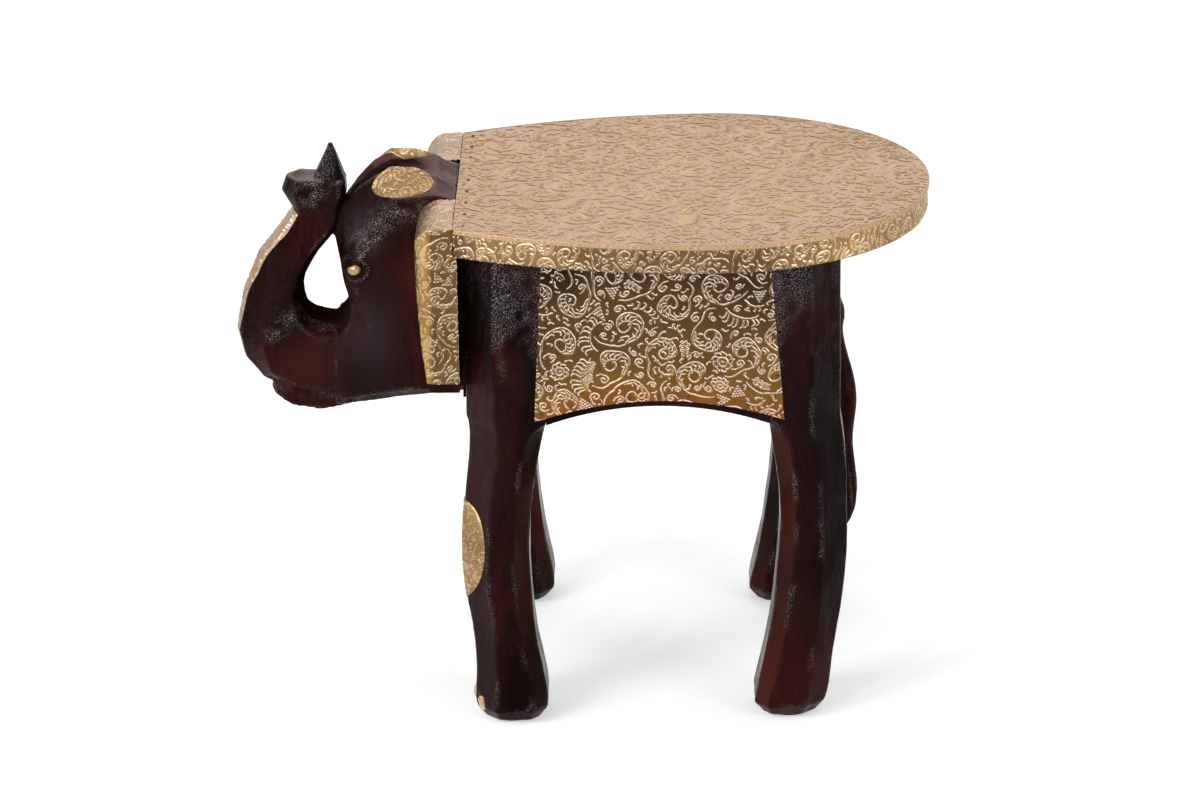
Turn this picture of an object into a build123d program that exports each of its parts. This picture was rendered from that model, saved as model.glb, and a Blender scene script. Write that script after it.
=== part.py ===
from build123d import *
from math import atan2, cos, hypot, radians, sin
import os

# Carved elephant stool: four carved legs and four aprons carry a horseshoe-shaped seat board,
# and a carved head with a raised trunk and two ears closes the front.  Chased brass sheet
# covers the seat, its edge, the side aprons, the ears, the knees, the brow and the trunk.
# Millimetres, +Z up.  The elephant looks towards -X and its left side is at -Y.  The origin
# is on the floor, under the middle of the whole outline.

# ---------------------------------------------------------------- driving dimensions

seat_height = 305.0              # floor to the brass on the seat (12 in)
seat_width = 248.0               # over the brass, across the widest place
seat_length = 279.0              # over the brass, front edge to rear edge
seat_front_width = 182.0         # length of the straight front edge
seat_rear_reach = 130.0          # widest place to the rear edge
seat_board_thickness = 16.7
sheet = 0.8                      # chased brass sheet with its raised pattern
sheet_lap = 3.2                  # how far the top sheet folds down over the edge band

front_x = -72.0                  # plane of the seat's front edge, the neck and the ears
neck_tuck = 2.0                  # how far neck and ears reach back under the seat board

pad_thickness = 1.6              # dark glide pad under each foot
pad_radius = 13.5

apron_depth = 101.5              # seat board down to the apron's lower corners
apron_thickness = 18.0
side_arch_rise = 11.5
front_arch_rise = 4.0
rear_arch_rise = 14.0
side_overhang = 26.0             # seat past the outer faces of side aprons and leg tops
rear_overhang = 55.0             # seat past the rear faces of rear apron and leg tops

front_leg_setback = 5.0          # leg's top behind the seat's front edge
front_leg_length = 47.0          # its size along X
rear_leg_length = 42.0
leg_top_width = 48.0             # size of every leg's top along Y
leg_corner_cut = 17.0            # broad carved facet on the outer free corner
leg_edge_cut = 10.0              # smaller facet on the other three corners
leg_joint_arris = 0.8            # those corners where the aprons meet the leg
foot_corner_cut = 11.5           # both facets at the foot
foot_edge_cut = 8.5

# Carved stations of the lower legs: height as a share of the height under the aprons, and
# how far the front, rear, outer and inner faces stand off the leg's own centre line.
leg_station_shares = (0.9355, 0.8011, 0.6344, 0.4731, 0.3011, 0.1075, 0.0484)
front_leg_stations = (
    (22.0, 20.6, 25.0, 21.6),
    (24.0, 16.0, 27.2, 16.0),
    (26.9, 12.4, 30.0, 12.0),
    (26.5, 12.6, 32.6, 8.6),
    (22.1, 15.2, 35.8, 6.0),
    (21.2, 21.2, 38.4, 5.6),
    (20.6, 21.4, 38.2, 5.8),
)
rear_leg_stations = (
    (19.6, 22.6, 25.0, 21.0),
    (16.0, 24.4, 27.0, 16.0),
    (14.8, 24.8, 29.6, 12.6),
    (17.2, 23.6, 31.4, 10.4),
    (21.2, 19.0, 33.0, 9.6),
    (28.5, 14.0, 34.2, 9.8),
    (30.5, 11.2, 34.0, 9.8),
)
sole_inset = 5.6                 # rounding between the foot's side and its sole

neck_width = 74.0
# Carved stations of the head: distance forward of the neck plane, then, below (-) or above
# the seat top and off the middle plane: underside, half width at the jaw, half width and
# height of the brow ridge, half width and height of the upper brow, half width and height
# of the dome, height of the groove between the domes.
head_stations = (
    (0.0, -122.0, 37.0, 37.0, -6.0, 35.0, -1.5, 20.0, -0.2, -0.8),
    (12.0, -123.0, 37.0, 37.0, -5.0, 34.0, 1.5, 19.0, 9.0, 5.5),
    (26.0, -124.5, 37.0, 37.0, -8.5, 34.5, -0.6, 18.0, 13.5, 3.0),
    (39.0, -126.0, 37.0, 37.0, -11.0, 34.0, -1.2, 18.0, 14.2, 2.5),
    (51.0, -127.5, 36.8, 36.6, -19.0, 33.0, -12.8, 17.0, 6.8, -2.0),
    (60.0, -129.0, 36.4, 35.6, -33.0, 29.0, -23.7, 13.8, -1.2, -8.5),
    (68.0, -130.0, 36.0, 32.5, -58.0, 20.0, -38.0, 10.5, -12.0, -16.5),
    (75.0, -131.0, 34.0, 30.0, -85.0, 12.0, -64.0, 8.5, -27.0, -31.0),
)
dome_inner_share = 0.64          # inner edge of a dome, share of its own distance across
dome_inner_drop = 0.35           # and how far it lies down towards the groove
groove_share = 0.25              # half width of the groove's floor, share of the dome's
jaw_cut = 6.0                    # facet along the lower edge of the jaw
# Carved stations of the trunk: forward and height of the outer point, forward and height
# of the inner point, width across, width of the outer face.
trunk_stations = (
    (52.0, -125.0, 54.0, -88.0, 58.0, 44.0),
    (82.0, -129.0, 74.0, -85.5, 55.0, 41.0),
    (104.0, -127.0, 82.0, -84.5, 50.0, 36.0),
    (120.0, -119.5, 88.0, -82.0, 46.0, 30.0),
    (130.0, -107.5, 92.5, -78.0, 43.0, 25.0),
    (134.2, -91.0, 94.0, -72.5, 40.0, 22.0),
    (129.3, -67.5, 94.5, -66.0, 37.0, 20.0),
    (119.6, -44.6, 92.5, -57.0, 33.0, 19.0),
    (107.9, -29.2, 84.0, -41.5, 29.0, 18.0),
    (98.0, -15.5, 71.0, -26.0, 26.0, 16.0),
    (104.5, -4.0, 66.5, -6.5, 27.0, 16.0),
    (101.5, 4.5, 66.5, 2.5, 24.0, 12.0),
)
# Where along its depth the trunk is widest at each station.
trunk_widest_shares = (0.19, 0.16, 0.16, 0.20, 0.35, 0.55, 0.69, 0.78, 0.62, 0.20, 0.20, 0.20)
trunk_front_crown = 2.0          # how far the outer face stands forward in the middle
trunk_front_flat = 0.4           # flat middle of the outer face, share of its width
trunk_inner_flat = 0.5           # flat middle of the inner side, share of the width
trunk_inner_slope = 0.5          # fall of the facets beside it
finger_height = 21.5             # pointed finger over the trunk's end
finger_length = 19.5
finger_sink = 1.0                # how far its foot stands in the trunk's end
finger_corner_cut = 6.0          # facets on its corners
finger_tip_setback = 8.5         # tip to the trunk's inner edge
finger_tip_length = 2.4
finger_tip_width = 2.8
finger_tip_cut = 0.7
mouth_dish = 1.6                 # hollow in the trunk's end
mouth_length = 8.0
mouth_width = 12.0
mouth_setback = 8.0              # its middle, back from the trunk's front edge
mouth_slope = -20.0              # degrees its wall opens upwards
lip_width = 40.0                 # lower lip under the trunk's root
lip_length = 80.0
lip_corner_radius = 8.0
lip_depth = 20.0

# Line of the face in front of the eyes and round the clear space between face and trunk:
# forward of the neck plane, over the seat top.
face_line = (
    (75.5, -24.0),
    (72.6, -35.0),
    (69.6, -47.0),
    (65.8, -60.0),
    (64.6, -68.0),
    (66.0, -78.5),
    (72.0, -87.0),
)
face_cut_forward = 90.0          # the cut that makes this line: how far forward it clears,
face_cut_height = -18.0          # its upper edge
face_cut_lead = 2.5              # and how far it leans out above the line

# Lower lip under the trunk's root.
lip_line = (
    (60.0, -122.0),
    (60.0, -130.0),
    (63.0, -133.0),
    (84.0, -137.5),
    (101.0, -134.5),
    (112.0, -128.0),
    (114.5, -124.0),
    (110.0, -120.0),
)

ear_thickness = 22.6
ear_drop = 101.0                 # seat top down to the ear's lower edge
ear_crown_radius = 13.0          # rounding of the ear's top front edge
ear_edge_radius = 10.5           # rounding of its outer front edge
ear_toe_in = 6.0                 # the lower front edge stands this much further back
ear_sheet_gap = 5.5              # bare wood under the brass on the ear

brow_plate_length = 37.5
brow_plate_width = 22.6
brow_plate_forward = 31.5        # its middle, forward of the neck plane
brow_plate_tilt = 42.0           # how far it leans out from the horizontal
brow_plate_lift = 25.0           # direction its thickness is laid in, from the vertical
brow_plate_clearance = 0.15      # pitch between it and the wood
brow_plate_y = 25.2
brow_plate_height = 7.2
trunk_plate_width = 20.0
trunk_plate_stations = (5, 9)    # trunk stations between which the brass runs
trunk_plate_reach = 6.2          # how far back it may reach at its upper end
knee_plate_height = 64.0
knee_plate_width = 40.0
knee_plate_z = 104.0

eye_forward = 60.5
eye_height = -44.0
eye_radius = 3.4
eye_bulge = 1.8
eye_seat_y = 35.0                # flat that the eye sits on, off the middle plane
eye_recess_radius = 5.8          # carved ring round the eye

stud_length = 10.0               # oval toe studs on the front feet
stud_width = 6.0
stud_bulge = 1.6
stud_z = 14.0
stud_recess = 0.4
# Places of the studs: back from the foot's front, across from its middle, up; facing.
stud_places = (
    (0.0, 1.0, 0.0, (-1.0, 0.0, 0.0)),
    (3.9, -10.6, -3.0, (-1.0, -1.0, 0.0)),
    (3.1, 12.6, -3.0, (-1.0, 1.0, 0.0)),
)

side_sheet_top_lap = 1.0         # brass over the side apron, past its ends
side_sheet_front_lap = 7.0
side_sheet_rear_lap = 9.0
side_sheet_reveal = 3.0          # bare wood under the brass along the arch
side_sheet_lift = 2.0            # and at its lower corners

# Tail: height under the seat top, middle behind the rear apron, half depth, half width.
tail_stations = (
    (-66.0, 0.0, 1.6, 3.0),
    (-80.0, 0.0, 2.8, 4.8),
    (-98.0, 0.4, 4.0, 5.2),
    (-112.0, 2.2, 5.0, 5.3),
    (-126.0, 5.0, 5.5, 5.4),
    (-145.0, 6.7, 5.6, 5.4),
    (-168.0, 5.0, 5.2, 5.0),
    (-184.0, 5.6, 6.0, 6.4),
    (-201.0, 6.4, 6.8, 7.2),
    (-214.0, 5.2, 5.9, 6.2),
    (-222.0, 4.0, 4.0, 4.0),
)

dowel_radius = 4.0
dowel_length = 36.0
dowel_spacing = 56.0             # between the two dowels of a joint, one over the other
screw_shank_radius = 2.0
screw_head_radius = 4.2
screw_length = 45.0
head_dowel_length = 30.0
head_dowel_shift = 3.0           # its middle, in front of the apron's face
ear_dowel_length = 30.0
tail_peg_radius = 2.5
tail_peg_length = 10.0
tail_peg_drop = 86.0             # seat top down to the peg
peg_radius = 1.1                 # shanks of studs and eyes
peg_length = 6.0

# ---------------------------------------------------------------- derived places

seat_top = seat_height - sheet                   # upper face of the seat board
leg_top = seat_top - seat_board_thickness        # underside of the seat board
apron_bottom = leg_top - apron_depth
seat_wide_x = front_x + seat_length - seat_rear_reach
side_face_y = seat_width / 2 - side_overhang
ear_reach = seat_front_width / 2                 # outer face of the ear, off the middle plane
front_leg_x = front_x + front_leg_setback + front_leg_length / 2
rear_leg_x = front_x + seat_length - rear_overhang - rear_leg_length / 2
front_leg_y = side_face_y - leg_top_width / 2
inner_face_y = side_face_y - leg_top_width
front_leg_front = front_leg_x - front_leg_length / 2
front_leg_rear = front_leg_x + front_leg_length / 2
rear_leg_front = rear_leg_x - rear_leg_length / 2
rear_leg_rear = rear_leg_x + rear_leg_length / 2
neck_x = front_x + neck_tuck                     # front face of the front apron
dowel_low_z = leg_top - apron_depth / 2 - dowel_spacing / 2
dowel_high_z = dowel_low_z + dowel_spacing

pieces = {}
os.makedirs("parts", exist_ok=True)


def profile_xz(forward, height):
    """Place on the middle plane, from the neck plane and the seat top."""
    return front_x - forward, seat_height + height


# ---------------------------------------------------------------- seat


def seat_outline(level, inset):
    """Seat shape at a distance inside the finished edge; the front edge stays in place."""
    half_front = seat_front_width / 2 - inset
    half_wide = seat_width / 2 - inset
    with BuildSketch(Plane.XY.offset(level)) as outline:
        with BuildLine():
            EllipticalCenterArc(
                (seat_wide_x, 0), seat_rear_reach - inset, half_wide, start_angle=-90, arc_size=180
            )
            TangentArc((seat_wide_x, half_wide), (front_x, half_front), tangent=(-1, 0))
            Line((front_x, half_front), (front_x, -half_front))
            TangentArc((seat_wide_x, -half_wide), (front_x, -half_front), tangent=(-1, 0))
        make_face()
    return outline.sketch


screw_places = [
    (front_leg_x, front_leg_y),
    (front_leg_x, -front_leg_y),
    (rear_leg_x, front_leg_y),
    (rear_leg_x, -front_leg_y),
    (seat_wide_x - seat_rear_reach / 4, side_face_y - apron_thickness / 2),
    (seat_wide_x - seat_rear_reach / 4, apron_thickness / 2 - side_face_y),
]

with BuildPart() as seat_board:
    extrude(seat_outline(leg_top, 2 * sheet), amount=seat_board_thickness)
    with Locations(*[(x, y, seat_top) for x, y in screw_places]):
        CounterSinkHole(screw_shank_radius, screw_head_radius, depth=seat_board_thickness)
pieces["seat_board"] = seat_board

with BuildPart() as seat_edge_band:
    extrude(seat_outline(leg_top, sheet), amount=seat_board_thickness)
    extrude(seat_outline(leg_top, 2 * sheet), amount=seat_board_thickness, mode=Mode.SUBTRACT)
pieces["seat_edge_band"] = seat_edge_band

with BuildPart() as seat_top_sheet:
    extrude(seat_outline(seat_height - sheet_lap, 0), amount=sheet_lap)
    extrude(
        seat_outline(seat_height - sheet_lap, sheet), amount=sheet_lap - sheet, mode=Mode.SUBTRACT
    )
pieces["seat_top_sheet"] = seat_top_sheet

# ---------------------------------------------------------------- legs


def leg_ring(height, front, rear, outer, inner, cuts):
    """Eight-sided section of a left leg; cuts are its corner facets, outer front first."""
    outer_front, outer_rear, inner_rear, inner_front = cuts
    with BuildSketch(Plane.XY.offset(height)) as ring:
        with BuildLine():
            Polyline(
                (front, -outer + outer_front),
                (front + outer_front, -outer),
                (rear - outer_rear, -outer),
                (rear, -outer + outer_rear),
                (rear, -inner - inner_rear),
                (rear - inner_rear, -inner),
                (front + inner_front, -inner),
                (front, -inner - inner_front),
                close=True,
            )
        make_face()
    return ring.sketch


def leg_cuts(share, free_corner):
    """Corner facets at a share of a leg's free height; they narrow towards the foot."""
    cuts = [foot_edge_cut + (leg_edge_cut - foot_edge_cut) * share] * 4
    cuts[free_corner] = foot_corner_cut + (leg_corner_cut - foot_corner_cut) * share
    return cuts


def leg_rings(center_x, top_length, stations, free_corner):
    """Sections of a left leg: the block between the aprons, the carved shaft, the sole."""
    joined = [leg_joint_arris] * 4
    joined[free_corner] = leg_corner_cut
    block_front = center_x - top_length / 2
    block_rear = center_x + top_length / 2
    block = [
        leg_ring(height, block_front, block_rear, side_face_y, inner_face_y, joined)
        for height in (leg_top, apron_bottom)
    ]
    shaft = [
        leg_ring(
            share * apron_bottom,
            center_x - front_off,
            center_x + rear_off,
            front_leg_y + outer_off,
            front_leg_y - inner_off,
            leg_cuts(share, free_corner),
        )
        for share, (front_off, rear_off, outer_off, inner_off) in zip(leg_station_shares, stations)
    ]
    front_off, rear_off, outer_off, inner_off = stations[-1]
    sole = leg_ring(
        pad_thickness,
        center_x - front_off + sole_inset,
        center_x + rear_off - sole_inset,
        front_leg_y + outer_off - sole_inset,
        front_leg_y - inner_off + sole_inset,
        [cut - sole_inset * (2 - 2 ** 0.5) for cut in leg_cuts(0, free_corner)],
    )
    return block, [block[-1], *shaft], [shaft[-1], sole]


def sole_middle(center_x, stations):
    """Middle of a left foot's sole."""
    front_off, rear_off, outer_off, inner_off = stations[-1]
    return center_x + (rear_off - front_off) / 2, -front_leg_y - (outer_off - inner_off) / 2


def knee_middle_y(height):
    """Middle of the front leg across, at a height between two of its stations."""
    level = height / apron_bottom
    sections = list(zip(leg_station_shares, front_leg_stations))
    for (high, upper), (low, lower) in zip(sections, sections[1:]):
        if low <= level <= high:
            share = (level - low) / (high - low)
            outer = lower[2] + (upper[2] - lower[2]) * share
            inner = lower[3] + (upper[3] - lower[3]) * share
            return -front_leg_y - (outer - inner) / 2
    return -front_leg_y


front_block, front_shaft, front_foot = leg_rings(
    front_leg_x, front_leg_length, front_leg_stations, free_corner=0
)
rear_block, rear_shaft, rear_foot = leg_rings(
    rear_leg_x, rear_leg_length, rear_leg_stations, free_corner=1
)

# Toe studs of a left front foot: place on the foot and direction each one faces.
foot_x, foot_y = sole_middle(front_leg_x, front_leg_stations)
foot_front = front_leg_x - front_leg_stations[-2][0]
stud_planes = [
    Plane(
        origin=(foot_front + back + stud_recess, foot_y + across, stud_z + lift),
        x_dir=(direction[1], -direction[0], 0.0),
        z_dir=direction,
    )
    for back, across, lift, direction in stud_places
]


def apron_dowel_places():
    """Middles of the dowels between left legs and aprons, with the axis of each."""
    places = []
    for z in (dowel_low_z, dowel_high_z):
        for x in (front_leg_rear, rear_leg_front):
            places.append((x, apron_thickness / 2 - side_face_y, z, (1, 0, 0)))
        for x in (neck_x + apron_thickness / 2, rear_leg_rear - apron_thickness / 2):
            places.append((x, -inner_face_y, z, (0, 1, 0)))
    return places


def rod(place, axis, radius, length):
    """Round bar with its middle at a place."""
    with BuildPart() as bar:
        with BuildSketch(Plane(origin=place, z_dir=axis)):
            Circle(radius)
        extrude(amount=length / 2, both=True)
    return bar.part


apron_dowels = [
    rod((x, side * y, z), axis, dowel_radius, dowel_length)
    for x, y, z, axis in apron_dowel_places()
    for side in (1, -1)
]


def seat_screw(x, y):
    """Countersunk screw from the top of the seat board into a leg or an apron."""
    with BuildPart() as screw:
        with BuildSketch(Plane.XY.offset(seat_top)):
            with Locations((x, y)):
                Circle(screw_head_radius)
        with BuildSketch(Plane.XY.offset(seat_top - screw_head_radius + screw_shank_radius)):
            with Locations((x, y)):
                Circle(screw_shank_radius)
        loft()
        with BuildSketch(Plane.XY.offset(seat_top - screw_length)):
            with Locations((x, y)):
                Circle(screw_shank_radius)
        extrude(amount=screw_length - screw_head_radius + screw_shank_radius)
    return screw.part


with BuildPart() as seat_screws:
    for x, y in screw_places:
        add(seat_screw(x, y))
pieces["seat_screws"] = seat_screws

with BuildPart() as leg_front_left:
    loft(front_block, ruled=True)
    loft(front_shaft)
    loft(front_foot, ruled=True)
    plain_front_leg = leg_front_left.part
    for plane in stud_planes:
        with BuildSketch(plane):
            Ellipse(stud_width / 2, stud_length / 2)
        extrude(amount=stud_length, mode=Mode.SUBTRACT)
        with BuildSketch(plane):
            Circle(peg_radius)
        extrude(amount=-peg_length, mode=Mode.SUBTRACT)
    add(apron_dowels, mode=Mode.SUBTRACT)
    add(seat_screws.part, mode=Mode.SUBTRACT)
pieces["leg_front_left"] = leg_front_left

with BuildPart() as leg_rear_left:
    loft(rear_block, ruled=True)
    loft(rear_shaft)
    loft(rear_foot, ruled=True)
    add(apron_dowels, mode=Mode.SUBTRACT)
    add(seat_screws.part, mode=Mode.SUBTRACT)
pieces["leg_rear_left"] = leg_rear_left

with BuildPart() as toe_studs_left:
    for plane in stud_planes:
        for share, rise in ((1.0, 0.0), (0.9, 0.55), (0.4, 1.0)):
            with BuildSketch(plane.offset(rise * (stud_bulge + stud_recess))):
                Ellipse(share * stud_width / 2, share * stud_length / 2)
        loft(ruled=True)
        with BuildSketch(plane):
            Circle(peg_radius)
        extrude(amount=-peg_length)
pieces["toe_studs_left"] = toe_studs_left

with BuildPart() as foot_pads:
    for center_x, stations in (
        (front_leg_x, front_leg_stations),
        (rear_leg_x, rear_leg_stations),
    ):
        x, y = sole_middle(center_x, stations)
        for side in (1, -1):
            with BuildSketch():
                with Locations((x, side * y)):
                    Circle(pad_radius)
            extrude(amount=pad_thickness)
pieces["foot_pads"] = foot_pads

with BuildPart() as knee_plate_left:
    with BuildSketch(Plane.YZ.offset(front_leg_front - knee_plate_width / 2)):
        with Locations((knee_middle_y(knee_plate_z), knee_plate_z)):
            Ellipse(knee_plate_width / 2, knee_plate_height / 2)
    extrude(amount=knee_plate_width)
    add(plain_front_leg.moved(Location((-sheet, 0, 0))), mode=Mode.INTERSECT)
    add(plain_front_leg, mode=Mode.SUBTRACT)
pieces["knee_plate_left"] = knee_plate_left

# ---------------------------------------------------------------- aprons


def arched_board(x_low, x_high, rise):
    """Outline of an apron: straight sides and top, a low arch underneath."""
    with BuildLine() as outline:
        Polyline(
            (x_low, apron_bottom), (x_low, leg_top), (x_high, leg_top), (x_high, apron_bottom)
        )
        ThreePointArc(
            (x_high, apron_bottom),
            ((x_low + x_high) / 2, apron_bottom + rise),
            (x_low, apron_bottom),
        )
    return outline.wire()


with BuildPart() as side_apron_left:
    with BuildSketch(Plane.XZ.offset(side_face_y)):
        make_face(arched_board(front_leg_rear, rear_leg_front, side_arch_rise).edges())
    extrude(amount=-apron_thickness)
    add(apron_dowels, mode=Mode.SUBTRACT)
    add(seat_screws.part, mode=Mode.SUBTRACT)
pieces["side_apron_left"] = side_apron_left

with BuildPart() as side_sheet_left:
    with BuildSketch(Plane.XZ.offset(side_face_y + sheet)):
        with BuildLine():
            Polyline(
                (front_leg_rear - side_sheet_front_lap, apron_bottom + side_sheet_lift),
                (front_leg_rear - side_sheet_top_lap, leg_top),
                (rear_leg_front + side_sheet_top_lap, leg_top),
                (rear_leg_front + side_sheet_rear_lap, apron_bottom + side_sheet_lift),
            )
            ThreePointArc(
                (rear_leg_front + side_sheet_rear_lap, apron_bottom + side_sheet_lift),
                (
                    (front_leg_rear + rear_leg_front) / 2,
                    apron_bottom + side_arch_rise + side_sheet_reveal,
                ),
                (front_leg_rear - side_sheet_front_lap, apron_bottom + side_sheet_lift),
            )
        make_face()
    extrude(amount=-sheet)
pieces["side_sheet_left"] = side_sheet_left

head_dowels = [
    rod((neck_x - head_dowel_shift, 0, z), (1, 0, 0), dowel_radius, head_dowel_length)
    for z in (dowel_low_z, dowel_high_z)
]
ear_dowels = [
    rod(
        (front_x - ear_thickness / 2, side * neck_width / 2, z),
        (0, 1, 0),
        dowel_radius,
        ear_dowel_length,
    )
    for z in (dowel_low_z, dowel_high_z)
    for side in (1, -1)
]
tail_peg = rod(
    (rear_leg_rear, 0, seat_height - tail_peg_drop), (1, 0, 0), tail_peg_radius, tail_peg_length
)

with BuildPart() as front_apron:
    with BuildSketch(Plane.YZ.offset(neck_x)):
        make_face(arched_board(-inner_face_y, inner_face_y, front_arch_rise).edges())
    extrude(amount=apron_thickness)
    add(apron_dowels, mode=Mode.SUBTRACT)
    add(head_dowels, mode=Mode.SUBTRACT)
pieces["front_apron"] = front_apron

with BuildPart() as rear_apron:
    with BuildSketch(Plane.YZ.offset(rear_leg_rear)):
        make_face(arched_board(-inner_face_y, inner_face_y, rear_arch_rise).edges())
    extrude(amount=-apron_thickness)
    plain_rear_apron = rear_apron.part
    add(apron_dowels, mode=Mode.SUBTRACT)
    add(tail_peg, mode=Mode.SUBTRACT)
pieces["rear_apron"] = rear_apron

# ---------------------------------------------------------------- tail

with BuildPart() as tail:
    rings = []
    for height, behind, half_depth, half_width in tail_stations:
        with BuildSketch(Plane.XY.offset(seat_height + height)) as ring:
            with Locations((rear_leg_rear + behind, 0)):
                Ellipse(half_depth, half_width)
        rings.append(ring.sketch)
    loft(rings)
    add(plain_rear_apron, mode=Mode.SUBTRACT)
    add(tail_peg, mode=Mode.SUBTRACT)
pieces["tail"] = tail

# ---------------------------------------------------------------- head


def skull_ring(station):
    """Section of the skull across the middle plane at one distance forward."""
    (
        forward,
        underside,
        jaw_half,
        ridge_half,
        ridge_z,
        brow_half,
        brow_z,
        dome_half,
        dome_z,
        groove_z,
    ) = station
    right_side = [
        (jaw_half - jaw_cut, underside),
        (jaw_half, underside + jaw_cut),
        (ridge_half, ridge_z),
        (brow_half, brow_z),
        (dome_half, dome_z),
        (dome_half * dome_inner_share, dome_z - (dome_z - groove_z) * dome_inner_drop),
        (dome_half * groove_share, groove_z),
    ]
    left_side = [(-half, height) for half, height in reversed(right_side)]
    with BuildSketch(Plane.YZ.offset(front_x - forward)) as ring:
        with BuildLine():
            Polyline(
                *[(y, seat_height + z) for y, z in (*right_side, *left_side)],
                close=True,
            )
        make_face()
    return ring.sketch


def trunk_ring(station, widest):
    """Ten-sided section of the trunk, from its outer to its inner point."""
    outer_forward, outer_z, inner_forward, inner_z, width, face_width = station
    outer_x, outer_height = profile_xz(outer_forward, outer_z)
    inner_x, inner_height = profile_xz(inner_forward, inner_z)
    step_x = inner_x - outer_x
    step_z = inner_height - outer_height
    plane = Plane(
        origin=((outer_x + inner_x) / 2, 0, (outer_height + inner_height) / 2),
        x_dir=(step_x, 0, step_z),
        z_dir=(-step_z, 0, step_x),
    )
    deep = hypot(step_x, step_z) / 2
    half = width / 2
    inner_half = half * trunk_inner_flat
    near_side = [
        (-deep, face_width / 2 * trunk_front_flat),
        (-deep + trunk_front_crown, face_width / 2),
        (-deep + 2 * deep * widest, half),
        (deep - (half - inner_half) * trunk_inner_slope, half),
        (deep, inner_half),
    ]
    far_side = [(along, -across) for along, across in reversed(near_side)]
    with BuildSketch(plane) as ring:
        with BuildLine():
            Polyline(*near_side, *far_side, close=True)
        make_face()
    return ring.sketch


def finger_ring(level, middle_x, length, width, cut):
    """Eight-sided section of the trunk's finger."""
    with BuildSketch(Plane.XY.offset(level)) as ring:
        with Locations((middle_x, 0)):
            chamfer(Rectangle(length, width).vertices(), cut)
    return ring.sketch


eye_x, eye_z = profile_xz(eye_forward, eye_height)
mouth_x, mouth_z = profile_xz(trunk_stations[-1][0] - mouth_setback, trunk_stations[-1][1])

with BuildPart() as lower_lip:
    with BuildSketch(Plane.XZ):
        with BuildLine():
            Polyline(*[profile_xz(*point) for point in lip_line], close=True)
        make_face()
    extrude(amount=lip_width / 2, both=True)
    with BuildSketch(Plane.XY.offset(seat_height + lip_line[3][1])):
        with Locations((front_x - lip_line[6][0] + lip_length / 2, 0)):
            RectangleRounded(lip_length, lip_width, radius=lip_corner_radius)
    extrude(amount=lip_depth, mode=Mode.INTERSECT)

with BuildPart() as head:
    neck_station = (-neck_tuck, *head_stations[0][1:])
    loft([skull_ring(station) for station in (neck_station, *head_stations)], ruled=True)
    with BuildSketch(Plane.XY.offset(leg_top)):
        with Locations((front_x + neck_tuck, 0)):
            Rectangle(2 * neck_tuck, 2 * neck_width)
    extrude(amount=seat_board_thickness * 2, mode=Mode.SUBTRACT)
    with BuildSketch(Plane.XZ):
        with BuildLine():
            Polyline(
                *[profile_xz(*point) for point in face_line],
                profile_xz(face_cut_forward, face_line[-1][1]),
                profile_xz(face_cut_forward, face_cut_height),
                profile_xz(face_line[0][0] + face_cut_lead, face_cut_height),
                close=True,
            )
        make_face()
    extrude(amount=neck_width, both=True, mode=Mode.SUBTRACT)
    loft(
        [trunk_ring(*section) for section in zip(trunk_stations, trunk_widest_shares)], ruled=True
    )
    finger_x, finger_z = profile_xz(trunk_stations[-1][2], trunk_stations[-1][3])
    finger_root = finger_ring(
        finger_z - finger_sink,
        finger_x - finger_length / 2,
        finger_length,
        trunk_stations[-1][4],
        finger_corner_cut,
    )
    finger_tip = finger_ring(
        finger_z + finger_height,
        finger_x - finger_tip_setback,
        finger_tip_length,
        finger_tip_width,
        finger_tip_cut,
    )
    loft([finger_root, finger_tip], ruled=True)
    add(lower_lip.part)
    plain_head = head.part
    for side in (1, -1):
        eye_plane = Plane(origin=(eye_x, side * eye_seat_y, eye_z), z_dir=(0, side, 0))
        with BuildSketch(eye_plane):
            Circle(eye_recess_radius)
        extrude(amount=neck_width, mode=Mode.SUBTRACT)
        with BuildSketch(eye_plane):
            Circle(peg_radius)
        extrude(amount=-peg_length, mode=Mode.SUBTRACT)
    with BuildSketch(Plane.XY.offset(mouth_z - mouth_dish)):
        with Locations((mouth_x, 0)):
            Ellipse(mouth_length / 2, mouth_width / 2)
    extrude(amount=3 * mouth_dish, mode=Mode.SUBTRACT, taper=mouth_slope)
    add(head_dowels, mode=Mode.SUBTRACT)
    add(ear_dowels, mode=Mode.SUBTRACT)
pieces["head"] = head

# ---------------------------------------------------------------- eyes

with BuildPart() as eye_left:
    with BuildSketch(Plane(origin=(eye_x, -eye_seat_y, eye_z), z_dir=(0, 0, 1))):
        with BuildLine():
            ThreePointArc(
                (0, -eye_bulge), (eye_radius * 0.7, -eye_bulge * 0.65), (eye_radius, 0)
            )
            Polyline((eye_radius, 0), (peg_radius, 0), (peg_radius, peg_length), (0, peg_length))
            Line((0, peg_length), (0, -eye_bulge))
        make_face()
    revolve(axis=Axis((eye_x, -eye_seat_y, eye_z), (0, 1, 0)))
pieces["eye_left"] = eye_left

# ---------------------------------------------------------------- ears


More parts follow.
